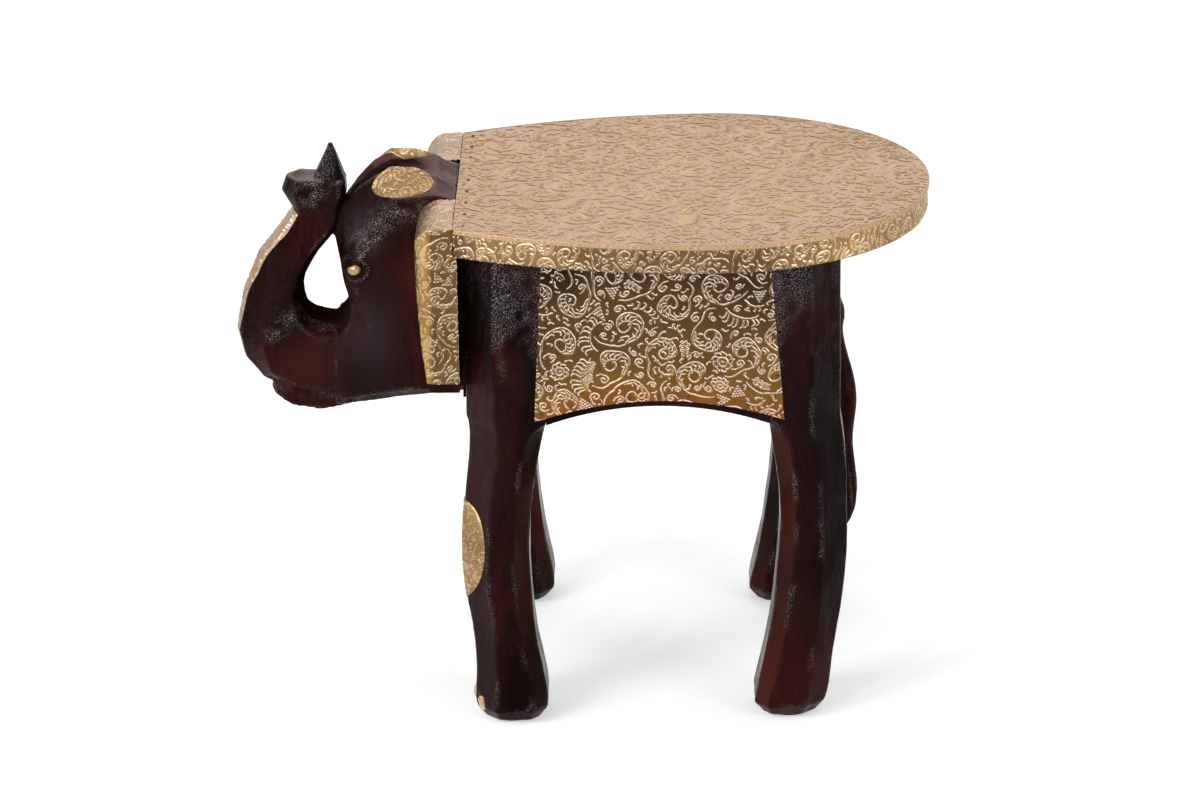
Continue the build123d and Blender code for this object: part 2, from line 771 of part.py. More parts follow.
def ear_block(grow, lift):
    """Left ear, grown by a sheet's thickness and cut off above its lower edge."""
    top = seat_height - sheet + grow
    bottom = seat_height - ear_drop + lift
    front = front_x - ear_thickness - grow + sheet
    low_front = front + ear_toe_in
    outer_y = ear_reach - sheet + grow
    crown = ear_crown_radius + grow
    with BuildPart() as block:
        with BuildSketch(Plane.XZ.offset(neck_width / 2)):
            with BuildLine():
                Polyline(
                    (low_front, bottom),
                    (neck_x, bottom),
                    (neck_x, leg_top),
                    (front_x, leg_top),
                    (front_x, top),
                    (front + crown, top),
                )
                RadiusArc((front + crown, top), (front, top - crown), -crown)
                ThreePointArc(
                    (front, top - crown),
                    (front + ear_toe_in * 0.2, (top + bottom) / 2 - crown / 2),
                    (low_front, bottom),
                )
            make_face()
        extrude(amount=outer_y - neck_width / 2)
        with BuildSketch(Plane.XY.offset(bottom)):
            with BuildLine():
                Polyline(
                    (front + ear_edge_radius + grow, -outer_y),
                    (neck_x, -outer_y),
                    (neck_x, 0),
                    (front, 0),
                    (front, -outer_y + ear_edge_radius + grow),
                )
                RadiusArc(
                    (front, -outer_y + ear_edge_radius + grow),
                    (front + ear_edge_radius + grow, -outer_y),
                    -ear_edge_radius - grow,
                )
            make_face()
        extrude(amount=top - bottom, mode=Mode.INTERSECT)
    return block.part


with BuildPart() as ear_left:
    add(ear_block(0, 0))
    add(ear_dowels, mode=Mode.SUBTRACT)
pieces["ear_left"] = ear_left

with BuildPart() as ear_sheet_left:
    add(ear_block(sheet, ear_sheet_gap))
    add(ear_block(0, 0), mode=Mode.SUBTRACT)
pieces["ear_sheet_left"] = ear_sheet_left

# ---------------------------------------------------------------- brass plates on the head


brow_x, brow_z = profile_xz(brow_plate_forward, brow_plate_height)
brow_tilt = radians(brow_plate_tilt)

brow_lift = radians(brow_plate_lift)

for side, side_name in ((-1, "left"), (1, "right")):
    normal = (0, side * sin(brow_tilt), cos(brow_tilt))
    lift = Vector(0, side * sin(brow_lift), cos(brow_lift))
    with BuildPart() as brow_plate:
        with BuildSketch(
            Plane((brow_x, side * brow_plate_y, brow_z), x_dir=(-1, 0, 0), z_dir=normal)
        ):
            Ellipse(brow_plate_length / 2, brow_plate_width / 2)
        extrude(amount=brow_plate_width / 2, both=True)
        outer_face = plain_head.moved(Location(lift * (brow_plate_clearance + sheet)))
        add(outer_face, mode=Mode.INTERSECT)
        inner_face = plain_head.moved(Location(lift * brow_plate_clearance))
        add(inner_face, mode=Mode.SUBTRACT)
    pieces["brow_plate_" + side_name] = brow_plate

low_station, high_station = (trunk_stations[index] for index in trunk_plate_stations)
trunk_low_x, trunk_low_z = profile_xz(low_station[0], low_station[1])
trunk_high_x, trunk_high_z = profile_xz(high_station[0], high_station[1])
trunk_lean = atan2(trunk_high_x - trunk_low_x, trunk_high_z - trunk_low_z)
trunk_normal = (-cos(trunk_lean), 0, sin(trunk_lean))

with BuildPart() as trunk_plate:
    with BuildSketch(Plane.YZ.offset(trunk_low_x - sheet)):
        with Locations((0, (trunk_low_z + trunk_high_z) / 2)):
            Rectangle(trunk_plate_width, trunk_high_z - trunk_low_z)
    extrude(amount=trunk_high_x - trunk_low_x + sheet + trunk_plate_reach)
    add(plain_head.moved(Location([sheet * part for part in trunk_normal])), mode=Mode.INTERSECT)
    add(plain_head, mode=Mode.SUBTRACT)
pieces["trunk_plate"] = trunk_plate

# ---------------------------------------------------------------- dowels and right-hand pieces

with BuildPart() as apron_dowel_set:
    add(apron_dowels)
pieces["apron_dowels"] = apron_dowel_set

with BuildPart() as head_dowel_set:
    add(head_dowels)
pieces["head_dowels"] = head_dowel_set

with BuildPart() as ear_dowel_set:
    add(ear_dowels)
pieces["ear_dowels"] = ear_dowel_set

with BuildPart() as tail_peg_piece:
    add(tail_peg)
pieces["tail_peg"] = tail_peg_piece

left_names = [name for name in pieces if name.endswith("_left")]
left_names.remove("brow_plate_left")
for name in left_names:
    with BuildPart() as right_piece:
        mirror(pieces[name].part, about=Plane.XZ)
    pieces[name.replace("_left", "_right")] = right_piece

for name, piece in pieces.items():
    piece.part.label = name
    export_step(piece.part, f"parts/{name}.step")
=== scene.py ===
"""Carved elephant stool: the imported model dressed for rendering.

Carved wood is re-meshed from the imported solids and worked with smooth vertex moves. Chased
brass is made as dense sheets whose raised pattern is drawn as round strokes on a height map.
Measures are in millimetres until new_object and put_back turn them into metres. The floor, the
lamps and the camera are placed in metres.
"""

import math

import bmesh
import bpy
import numpy as np
from mathutils import Matrix, Vector
from mathutils.bvhtree import BVHTree


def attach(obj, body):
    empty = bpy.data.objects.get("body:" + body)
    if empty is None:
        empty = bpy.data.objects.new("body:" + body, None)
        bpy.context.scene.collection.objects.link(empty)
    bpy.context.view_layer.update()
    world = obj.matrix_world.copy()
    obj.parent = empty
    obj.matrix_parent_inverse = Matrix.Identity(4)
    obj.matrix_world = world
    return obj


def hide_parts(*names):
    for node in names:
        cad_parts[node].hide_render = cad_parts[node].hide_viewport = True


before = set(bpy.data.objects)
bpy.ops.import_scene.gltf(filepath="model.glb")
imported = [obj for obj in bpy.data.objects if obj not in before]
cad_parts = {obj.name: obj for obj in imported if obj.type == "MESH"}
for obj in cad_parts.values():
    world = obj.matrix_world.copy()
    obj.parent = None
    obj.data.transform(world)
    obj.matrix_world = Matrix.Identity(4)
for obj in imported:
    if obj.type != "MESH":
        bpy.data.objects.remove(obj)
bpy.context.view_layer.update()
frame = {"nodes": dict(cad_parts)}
nodes = frame["nodes"]
scene = bpy.context.scene
link = scene.collection.objects.link
coarse = 1.0

MM = 0.001
SIDES = (("left", -1), ("right", 1))
SEAT_TOP = 305.0
SHEET = 0.8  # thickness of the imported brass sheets

# -------- pattern

CELL = 0.5  # size of the squares that remember where the ground is taken


def resample(line, count):
    """Evenly spaced points along a line."""
    line = np.asarray(line, float)
    run = np.concatenate([[0], np.cumsum(np.linalg.norm(np.diff(line, axis=0), axis=1))])
    at = np.linspace(0, run[-1], count)
    return np.stack([np.interp(at, run, line[:, k]) for k in range(line.shape[1])], 1)


def dense(points, spacing):
    points = np.asarray(points, float)
    length = np.linalg.norm(np.diff(points, axis=0), axis=1).sum()
    return resample(points, max(2, int(length / spacing) + 2))


class Relief:
    """Chased foliage over a flat rectangle, as a height map between 0 and 1."""

    def __init__(self, width, height, pitch, line, seed):
        self.width, self.height, self.pitch, self.line = width, height, pitch, line
        self.map = np.zeros((int(height / pitch) + 3, int(width / pitch) + 3))
        self.taken = np.zeros((int(height / CELL) + 3, int(width / CELL) + 3), bool)
        self.rng = np.random.default_rng(seed)
        self.stamps = []

    def cells(self, points):
        inside = (points > 0).all(1) & (points < (self.width, self.height)).all(1)
        return (points[inside][:, ::-1] / CELL).astype(int).T

    def add(self, strokes, gap):
        """Keeps round strokes (points, radius or two, height) and takes the ground near them."""
        for points, radius, tall in strokes:
            points = dense(points, self.pitch)
            share = np.linspace(0, 1, len(points))
            radii = np.interp(share, [0, 1], np.broadcast_to(radius, 2)) * self.line
            self.stamps.append(np.column_stack([points, radii, np.full(len(points), tall)]))
            reach = int(gap / CELL)
            rows, cols = self.cells(points)
            for row in range(-reach, reach + 1):
                for col in range(-reach, reach + 1):
                    if math.hypot(row, col) * CELL <= gap:
                        self.taken[
                            np.clip(rows + row, 0, self.taken.shape[0] - 1),
                            np.clip(cols + col, 0, self.taken.shape[1] - 1),
                        ] = True

    def strew(self, make, sizes, tries, gap):
        """Puts an ornament at each random place where all of it falls on free ground."""
        rng = self.rng
        models = []
        for size in np.linspace(*sizes, 5):
            strokes = make(size, rng)
            models.append((strokes, np.concatenate([dense(s[0], 1.0) for s in strokes])))
        for _ in range(tries):
            x, y = rng.uniform(0, self.width), rng.uniform(0, self.height)
            turn, hand = rng.uniform(0, 2 * np.pi), rng.choice((-1, 1))
            strokes, sample = models[rng.integers(len(models))]
            if not self.taken[tuple(self.cells(turned(sample, x, y, turn, hand)))].any():
                self.add([(turned(s[0], x, y, turn, hand), *s[1:]) for s in strokes], gap)

    def draw(self):
        """Stamps every stroke into the map."""
        stamps = np.concatenate(self.stamps)
        reach = int(stamps[:, 2].max() / self.pitch) + 1
        steps = np.arange(-reach, reach + 1)
        step_y, step_x = (s.ravel() for s in np.meshgrid(steps, steps, indexing="ij"))
        col = np.round(stamps[:, 0] / self.pitch).astype(int)[:, None] + step_x
        row = np.round(stamps[:, 1] / self.pitch).astype(int)[:, None] + step_y
        away = np.hypot(col * self.pitch - stamps[:, :1], row * self.pitch - stamps[:, 1:2])
        level = stamps[:, 3:4] * np.clip(1 - (away / stamps[:, 2:3]) ** 2, 0, 1) ** 0.7
        inside = (row >= 0) & (col >= 0) & (row < self.map.shape[0]) & (col < self.map.shape[1])
        inside &= level > 0
        flat = row[inside] * self.map.shape[1] + col[inside]
        np.maximum.at(self.map.reshape(-1), flat, level[inside])
        return self

    def sample(self, grid, x, y):
        """Values of a grid at points, with its lines drawn a little unevenly."""
        x, y = (
            x + 0.7 * np.sin(0.26 * y + 0.7) + 0.3 * np.sin(0.21 * x + 0.43 * y),
            y + 0.7 * np.sin(0.29 * x + 0.2) + 0.3 * np.sin(0.46 * x - 0.18 * y),
        )
        x = np.clip(np.asarray(x) / self.pitch, 0, grid.shape[1] - 1.001)
        y = np.clip(np.asarray(y) / self.pitch, 0, grid.shape[0] - 1.001)
        col, row = x.astype(int), y.astype(int)
        fx, fy = x - col, y - row
        low = grid[row, col] * (1 - fx) + grid[row, col + 1] * fx
        high = grid[row + 1, col] * (1 - fx) + grid[row + 1, col + 1] * fx
        return low * (1 - fy) + high * fy

    def at(self, x, y):
        """Height of the chasing at points."""
        return self.sample(self.map, x, y)

    def lit(self, x, y, toward=(0, 1), even=0.0):
        """Painted light on the flanks: 1 facing toward the given way, 0 facing away, 0.5 on the
        flat.
        """
        slope_y, slope_x = np.gradient(self.map, self.pitch)
        facing = -(slope_x * toward[0] + slope_y * toward[1]) * (1 - even)
        facing += even * np.hypot(slope_x, slope_y)
        return self.sample(0.5 + 0.5 * np.clip(facing * self.line * 1.1, -1, 1), x, y)


def turned(points, x, y, angle, hand=1):
    """Local points turned, mirrored by hand and moved to a place."""
    points = np.asarray(points, float) * (1, hand)
    c, s = math.cos(angle), math.sin(angle)
    return points @ np.array([[c, s], [-s, c]]) + (x, y)


def hook(x, y, length, heading, bend):
    """Comma-shaped stroke that leaves a stem and curls over at its end."""
    t = np.linspace(0, 1, 9)
    curve = np.column_stack([length * np.sin(1.9 * t) / 1.1, bend * length * t**2.2])
    return turned(curve, x, y, heading)


def volute(size, rng):
    """Scroll: a leaf along a spiral with comma-shaped veins, that ends in a rolled eye."""
    t = np.linspace(0, 1, 64)
    turn = 2.7 * np.pi * t
    rho = size * (1 - 0.86 * t**0.85)
    gap = size * 0.44 * np.sin(np.pi * np.clip(t / 0.62, 0, 1)) ** 0.8
    way = np.column_stack([np.cos(turn), np.sin(turn)])
    outer, inner = way * rho[:, None], way * (rho - gap)[:, None]
    strokes = [(outer, (1.2, 0.9), 1.0), (inner[16:40], (0.7, 0.8), 0.8)]
    for k in range(4, 35, 4 if size > 9 else 6):
        a, b = outer[k], inner[min(k + 5, 40)]
        middle = (a + b) / 2 + (outer[k + 2] - outer[k]) * 0.9
        strokes.append((np.array([a * 0.82 + b * 0.18, middle * 0.8 + (a + b) * 0.1,
                                  a * 0.1 + b * 0.9]), (1.25, 0.6), 1.0))
    strokes.append((outer[-1:] + [(0, 0), (0.05, 0)], 1.9, 1.0))
    for k in range(2, 2 + 6 * rng.integers(0, 5), 6):
        strokes.append((hook(*(outer[k] * 1.09), size * 0.34, turn[k] + 0.5, 0.5), (1.5, 0.7), 1))
    back = np.linspace(0, 1, 12)
    stem = np.column_stack([size * (1 + 0.25 * np.sin(2.6 * back)), -size * 0.95 * back])
    strokes.append((stem, (1.2, 0.5), 1.0))
    return strokes


def frond(size, rng):
    """Curved stem with hooked leaves down one side or both."""
    t = np.linspace(0, 1, 24)
    heading = rng.uniform(0.5, 1.0) * (2 * t - 1)
    stem = np.column_stack([np.cumsum(np.cos(heading)), np.cumsum(np.sin(heading))])
    stem *= size / (len(t) - 1)
    stem -= stem.mean(0)
    strokes = [(stem, (1.2, 0.6), 1.0)]
    sides = (1, -1) if rng.random() < 0.6 else (-1,)
    count = max(4, int(size / 2.3))
    for k in range(1, count):
        at = int(k / count * 22)
        for side in sides:
            length = min(6.5, size * 0.32) * (1 - 0.5 * abs(k / count - 0.35))
            strokes.append((hook(*stem[at], length, heading[at] + side * 0.85, side * 0.55),
                            (1.25, 0.75), 1.0))
    return strokes


def sprig(size, rng):
    """Short stem with veined almond leaves."""
    strokes = [([(-size / 2, 0), (size * 0.45, 0)], (1.0, 0.7), 1.0)]
    for k, place in enumerate(np.linspace(-0.35, 0.5, 4)):
        for side in (1, -1):
            t = np.linspace(0, 1, 8)
            long, wide = size * 0.30, size * 0.085
            edge = np.column_stack([t * long, wide * np.sin(np.pi * t)])
            for hand in (1, -1):
                strokes.append((turned(edge * (1, hand), place * size, side * 0.5,
                                       side * (1.1 - 0.2 * k)), 0.75, 0.95))
    return strokes


def grapes(size, rng):
    """Bunch of berries in rows that narrow downwards."""
    rows = int(size / 1.7)
    return [
        (np.array([(0, 0), (0.05, 0)]) + ((row - rows / 3) * 1.5, (k - (rows - row - 1) / 2) * 1.7),
         1.15, 1.0)
        for row in range(rows) for k in range(rows - row)
    ]


def fan(size, rng):
    """Spread of long narrow leaves from one point."""
    strokes = []
    for k in range(-3, 4):
        t = np.linspace(0.12, 1, 8)
        long = size * (1 - 0.05 * abs(k))
        curve = np.column_stack([t * long, 0.12 * k * long * t**2 * 0.4])
        strokes.append((turned(curve, -size / 2, 0, 0.24 * k), (0.7, 1.15), 1.0))
    return strokes


def rose(size, rng):
    """Whorl of petals in rings round a bead."""
    strokes = [(np.array([(0, 0), (0.05, 0)]), 1.8, 1.0)]
    for share, count in ((0.42, 5), (0.85, 9)):
        for k in range(count):
            turn = 2 * np.pi * k / count
            strokes.append((hook(share * size * math.cos(turn), share * size * math.sin(turn),
                                 size * 0.42, turn + 1.9, 0.45), (1.3, 0.7), 1.0))
    return strokes


def curl(size, rng):
    """Small tendril that rolls in."""
    t = np.linspace(0, 1, 22)
    turn, rho = 2.3 * np.pi * t, size * (1 - 0.8 * t)
    return [(np.column_stack([rho * np.cos(turn), rho * np.sin(turn)]), (1.0, 0.9), 1.0),
            ([(size, 0), (size * 0.9, -size), (size * 0.2, -size * 1.7)], (1.0, 0.6), 1.0)]


def comma(size, rng):
    return [(hook(0, 0, size, 0, 0.5), (1.2, 0.7), 1.0)]


def foliage(width, height, seed, pitch, line, scale=1.0, tries=1.0):
    """Rectangle strewn with scrolls, fronds, bunches and roses, and small curls between."""
    relief = Relief(width, height, pitch, line, seed)
    for make, low, high, count, gap in (
        (volute, 11.5, 13.0, 1500, 1.5),
        (frond, 22.0, 27.0, 1200, 1.5),
        (volute, 7.5, 9.5, 2200, 1.4),
        (grapes, 9.0, 11.0, 160, 1.5),
        (rose, 5.5, 7.0, 900, 1.4),
        (fan, 11.0, 14.0, 900, 1.4),
        (frond, 11.0, 15.0, 2600, 1.4),
        (sprig, 8.0, 11.0, 1800, 1.3),
        (volute, 4.2, 5.4, 2600, 1.3),
        (curl, 1.9, 2.8, 3200, 1.35),
        (comma, 2.2, 4.0, 3000, 1.3),
    ):
        relief.strew(make, (low * scale, high * scale), int(count * tries), gap)
    return relief.draw()


# -------- mesh helpers


def grid_faces(rows, cols, closed=False):
    index = np.arange(rows * cols).reshape(rows, cols)
    if closed:
        index = np.concatenate([index, index[:, :1]], 1)
    corners = [index[:-1, :-1], index[:-1, 1:], index[1:, 1:], index[1:, :-1]]
    return np.stack(corners, -1).reshape(-1, 4)


def add_fields(mesh, **fields):
    """Gives the mesh one float attribute per named field."""
    for key, values in fields.items():
        layer = mesh.attributes.new(key, "FLOAT", "POINT")
        layer.data.foreach_set("value", np.asarray(values, np.float32).ravel())


def new_object(name, verts, faces, **fields):
    """Smooth mesh object from points in millimetres, with its fields."""
    mesh = bpy.data.meshes.new(name)
    verts = np.asarray(verts).reshape(-1, 3) * MM
    mesh.from_pydata(verts.tolist(), [], [list(map(int, f)) for f in faces])
    add_fields(mesh, **fields)
    mesh.polygons.foreach_set("use_smooth", np.ones(len(mesh.polygons), bool))
    mesh.update()
    obj = bpy.data.objects.new(name, mesh)
    link(obj)
    return obj


def paint(obj, material):
    obj.data.materials.clear()
    obj.data.materials.append(material)


def dress(obj, slot, material, *replaced):
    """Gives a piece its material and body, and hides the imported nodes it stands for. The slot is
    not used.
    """
    paint(obj, material)
    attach(obj, "root")
    if replaced:
        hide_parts(*replaced)


def read(items, key, width=3, kind=float):
    values = np.empty(len(items) * width, kind)
    items.foreach_get(key, values)
    return values.reshape(-1, width)


def mesh_arrays(mesh):
    """Verts in millimetres, their normals, and the edges."""
    return (read(mesh.vertices, "co") / MM, read(mesh.vertices, "normal"),
            read(mesh.edges, "vertices", 2, int))


def put_back(mesh, verts):
    mesh.vertices.foreach_set("co", (verts * MM).ravel())
    mesh.update()


def averaged(verts, edges, rounds=1):
    """Each vert replaced by its neighbours' middle, a number of times."""
    count = np.bincount(edges.ravel(), minlength=len(verts))[:, None].clip(1)
    one, other = edges.T
    for _ in range(rounds):
        sums = [
            np.bincount(one, verts[other, axis], len(verts))
            + np.bincount(other, verts[one, axis], len(verts))
            for axis in range(3)
        ]
        verts = np.stack(sums, 1) / count
    return verts


def smoothed(verts, edges, rounds):
    """Verts moved half-way to their neighbours' middle and back out, which keeps the volume."""
    for _ in range(rounds):
        for share in (0.5, -0.52):
            verts = verts + (averaged(verts, edges) - verts) * share
    return verts


WAVE_COUNT = 30


def waves(points, length, seed):
    """Smooth random field of roughly unit size with a given wavelength."""
    rng = np.random.default_rng(seed)
    total = np.zeros(points.shape[:-1])
    for _ in range(WAVE_COUNT):
        heading = rng.normal(size=3)
        heading *= 2 * np.pi / length * rng.uniform(0.6, 1.4) / np.linalg.norm(heading)
        total += np.cos(points @ heading + rng.uniform(0, 2 * np.pi))
    return total / math.sqrt(WAVE_COUNT / 2)


def remeshed(name, sources, voxel):
    """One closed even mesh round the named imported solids."""
    bm = bmesh.new()
    for source in sources:
        bm.from_mesh(nodes[source].data)
    mesh = bpy.data.meshes.new(name)
    bm.to_mesh(mesh)
    bm.free()
    rough = bpy.data.objects.new(name + "_rough", mesh)
    link(rough)
    modifier = rough.modifiers.new("even", "REMESH")
    modifier.mode = "VOXEL"
    modifier.voxel_size = voxel * coarse * MM
    modifier.use_smooth_shade = True
    bpy.context.view_layer.update()
    graph = bpy.context.evaluated_depsgraph_get()
    obj = bpy.data.objects.new(name, bpy.data.meshes.new_from_object(rough.evaluated_get(graph)))
    bpy.data.objects.remove(rough)
    link(obj)
    return obj


def rise(values, start, stop):
    """0 at start, 1 at stop and beyond."""
    return np.clip((values - start) / (stop - start), 0, 1)


def bell(values, middle, width):
    return np.exp(-(((values - middle) / width) ** 2))


def line_gap(verts, path):
    """Distance of verts from a line in the side view."""
    x, _, z = verts.T
    gap = np.full(len(x), 1e9)
    for (ax, az), (bx, bz) in zip(path, path[1:]):
        dx, dz = bx - ax, bz - az
        t = np.clip(((x - ax) * dx + (z - az) * dz) / (dx * dx + dz * dz + 1e-9), 0, 1)
        gap = np.minimum(gap, np.hypot(x - ax - t * dx, z - az - t * dz))
    return gap


def carve(verts, normals, path, radius, depth):
    """Sinks (or with a negative depth, raises) both flanks along a line in the side view."""
    near = line_gap(verts, path) / radius
    weight = np.clip(1 - near**2, 0, 1) ** 1.5 * np.clip(np.abs(normals[:, 1]) * 3 - 0.9, 0, 1)
    return verts - normals * (depth * weight)[:, None]


# -------- materials


class Nodes:
    """Short calls for the nodes of one material or world, which give output sockets."""

    def __init__(self, owner):
        owner.use_nodes = True
        self.owner, self.tree = owner, owner.node_tree

    def put(self, socket, value):
        """Links a socket, or sets a number or colour on the socket itself."""
        if isinstance(value, bpy.types.NodeSocket):
            self.tree.links.new(value, socket)
        elif isinstance(value, tuple) and len(value) < len(socket.default_value):
            socket.default_value = (*value, 1)
        else:
            socket.default_value = value

    def make(self, kind, output, **values):
        made = self.tree.nodes.new("ShaderNode" + kind)
        for key, value in values.items():
            if key in made.inputs:
                self.put(made.inputs[key], value)
            else:
                setattr(made, key, value)
        return made.outputs[output]

    def fields(self, *names):
        return [self.make("Attribute", "Fac", attribute_name=name) for name in names]

    def ramp(self, source, *stops):
        made = self.tree.nodes.new("ShaderNodeValToRGB")
        points = made.color_ramp.elements
        while len(points) < len(stops):
            points.new(0.5)
        for point, (at, colour) in zip(points, stops):
            point.position = at
            point.color = (*colour, 1) if isinstance(colour, tuple) else (colour,) * 3 + (1,)
        self.put(made.inputs["Fac"], source)
        return made.outputs["Color"]

    def mix(self, kind, factor, a, b):
        made = self.tree.nodes.new("ShaderNodeMix")
        made.data_type, made.blend_type = "RGBA", kind
        for index, value in ((0, factor), (6, a), (7, b)):  # the colour mix's own sockets
            self.put(made.inputs[index], value)
        return made.outputs[2]

    def times(self, a, b):
        return self.mix("MULTIPLY", 1.0, a, b)

    def bump(self, height, strength, distance, **before):
        return self.make("Bump", "Normal", Strength=strength, Distance=distance, Height=height,
                         **before)

    def place(self, tall=1.0):
        """Object coordinates, drawn out along Z where tall is under 1."""
        coords = self.make("TexCoord", "Object")
        return self.make("Mapping", "Vector", Scale=(1.0, 1.0, tall), Vector=coords)

    def noise(self, where, scale, detail=3.0, rough=0.5, warp=0.0):
        return self.make("TexNoise", "Fac", Scale=scale, Detail=detail, Roughness=rough,
                         Distortion=warp, Vector=where)

    def finish(self, shader="Principled BSDF", **values):
        """Fills the shader's sockets, named with _ for a space, and gives the owner."""
        inputs = self.tree.nodes[shader].inputs
        for key, value in values.items():
            self.put(inputs[key.replace("_", " ")], value)
        return self.owner


# Colours painted over the lacquer: a painted warm red, grey-purple painted reflections, black
# painted shade, a painted top sheen and painted glint dots.
RED = (0.050, 0.0095, 0.0055)
REFLECTION_PATCH_PAINT = (0.024, 0.012, 0.014)
REFLECTION_PAINT = (0.034, 0.019, 0.022)
SHADE_PAINT = (0.0035, 0.0010, 0.0010)
SHEEN_PAINT = (0.165, 0.098, 0.092)
GLINT_PAINT = (0.55, 0.49, 0.50)


def wood(name, dark, light, sparkle, rough, gloss=0.04):
    """Dark lacquer over carved wood: faint grain, a pebbled gloss, and painted light in warm red,
    grey-purple reflections, black shade, a top sheen and glint dots.
    """
    s = Nodes(bpy.data.materials.new(name))
    even = s.place()
    # Fields of painted light: glint dots (which also set the pebble's strength), top sheen,
    # grey-purple reflection, red and black shade.
    rubbed, faded, clouded, redder, blackened = s.fields(
        "rubbed", "faded", "clouded", "redder", "blackened")
    grain = s.noise(s.place(0.22), 260.0, 5.0, 0.6, 0.6)
    # Random light and dark patches and random grey-purple patches are painted reflections in the
    # lacquer; the dots are painted glints.
    shade = s.ramp(s.noise(s.place(0.55), 22.0, 1.5, 0.4), (0.36, 0.22), (0.52, 0.9), (0.70, 1.6))
    reflection_patches = s.ramp(s.noise(s.place(0.4), 15.0, 1.0, 0.4), (0.54, 0.0), (0.70, 0.5))
    dots = s.ramp(s.noise(even, 1500.0, 3.0, 0.7), (0.535, 0.0), (0.63, 1.0))
    colour = s.times(s.ramp(grain, (0.3, dark), (0.72, light)), shade)
    for share, painted_light in ((reflection_patches, REFLECTION_PATCH_PAINT), (redder, s.times(shade, RED)), (clouded, REFLECTION_PAINT),
                         (blackened, SHADE_PAINT), (faded, SHEEN_PAINT), (s.times(dots, rubbed), GLINT_PAINT)):
        colour = s.mix("MIX", share, colour, painted_light)
    pebble = s.ramp(s.noise(even, 820.0, 2.5, 0.6), (0.35, 0.0), (0.7, 1.0))
    patchy = s.ramp(s.noise(even, 30.0, 3.0, 0.55), (0.45, 0.10), (0.68, 0.8))
    pebble = s.times(pebble, s.mix("ADD", 1.0, patchy, rubbed))
    return s.finish(
        Base_Color=colour,
        Roughness=s.ramp(s.noise(even, 60.0, 4.0, 0.6), (0.3, rough * 0.75), (0.75, rough * 1.5)),
        Specular_IOR_Level=gloss,
        Normal=s.bump(grain, 0.12, 0.0003, Normal=s.bump(pebble, sparkle, 0.0009)),
    )


def brass(name, ground, ridge, glint, shadow, rough, tarnish=(0.55, 0.45, 0.35), tones=()):
    """Chased brass: dull ground, brighter raised lines, with a painted highlight on one flank and
    painted shade on the other.
    """
    s = Nodes(bpy.data.materials.new(name))
    even = s.place()
    raised, flank, tone = s.fields("raised", "flank", "tone")
    patchy = s.ramp(s.noise(even, 30.0, 4.0, 0.6), (0.42, 0.0), (0.72, 0.8))
    speck = s.ramp(s.noise(even, 520.0, 3.0, 0.7), (0.36, 0.45), (0.55, 1.0))
    fine = s.noise(even, 420.0, 4.0, 0.65)
    colour = s.mix("MIX", s.ramp(raised, (0.1, 0.0), (0.8, 1.0)), ground, ridge)
    colour = s.mix("MULTIPLY", patchy, colour, tarnish)
    # The tone field scales the colour by place and facing, as painted light and shade.
    if tones:
        colour = s.times(colour, s.ramp(tone, *tones))
    # The flank field gives painted shade on one flank and a painted highlight on the other.
    dark = s.times(s.ramp(flank, (0.12, 1.0), (0.40, 0.0)), speck)
    bright = s.times(s.ramp(flank, (0.62, 0.0), (0.88, 1.0)), speck)
    colour = s.mix("MIX", bright, s.mix("MIX", dark, colour, shadow), glint)
    return s.finish(
        Base_Color=colour,
        Metallic=1.0,
        Roughness=s.ramp(fine, (0.3, rough * 0.8), (0.7, rough * 1.25)),
        Normal=s.bump(s.noise(even, 1400.0, 2.0), 0.25, 0.0001, Normal=s.bump(fine, 0.35, 0.0003)),
    )


def plain(name, colour, metal, rough, scale, bump):
    """Small part of one colour, a little cloudy."""
    s = Nodes(bpy.data.materials.new(name))
    cloud = s.noise(s.place(), scale)
    low, high = (tuple(min(1.0, c * share) for c in colour) for share in (0.75, 1.2))
    return s.finish(
        Base_Color=s.ramp(cloud, (0.3, low), (0.7, high)),
        Metallic=metal,
        Roughness=s.ramp(cloud, (0.3, rough * 0.8), (0.7, rough * 1.2)),
        Normal=s.bump(cloud, bump, 0.0002),
    )


lacquer = wood("dark_lacquered_wood", (0.008, 0.0010, 0.0009), (0.034, 0.0045, 0.0035), 0.8, 0.19)
# A darker lacquer without gloss, as painted shade inside the head's opening.
inner_shade_lacquer = wood(
    "dark_inner_wood", (0.005, 0.0012, 0.0010), (0.015, 0.004, 0.003), 0.5, 0.6, gloss=0.0,
)
under_wood = wood(
    "dark_rubbed_wood", (0.012, 0.005, 0.004), (0.035, 0.012, 0.008), 0.3, 0.5, gloss=0.3,
)
dowel_wood = wood("plain_dowel_wood", (0.30, 0.19, 0.10), (0.42, 0.28, 0.16), 0.1, 0.55, gloss=0.4)
seat_brass = brass(
    "brass_seat", (0.46, 0.295, 0.205), (0.50, 0.325, 0.17), (0.80, 0.62, 0.43),
    (0.13, 0.064, 0.024), 0.42, (0.84, 0.84, 0.74),
)
edge_brass = brass(
    "brass_edge", (0.21, 0.128, 0.066), (0.34, 0.225, 0.12), (0.93, 0.79, 0.62),
    (0.07, 0.035, 0.015), 0.34, (0.6, 0.5, 0.4),
    [(0.0, (0.6, 0.5, 0.46)), (0.5, (0.86, 0.82, 0.78)), (1.0, (1.7, 1.7, 1.4))],
)
side_brass = brass(
    "brass_side", (0.105, 0.062, 0.023), (0.19, 0.12, 0.05), (0.98, 0.83, 0.71),
    (0.035, 0.017, 0.007), 0.34, (0.7, 0.6, 0.5),
    [(0.0, (0.22, 0.17, 0.20)), (0.4, (0.9, 0.88, 0.88)), (0.7, (1.6, 1.4, 0.95)),
     (1.0, (2.0, 1.25, 0.75))],
)
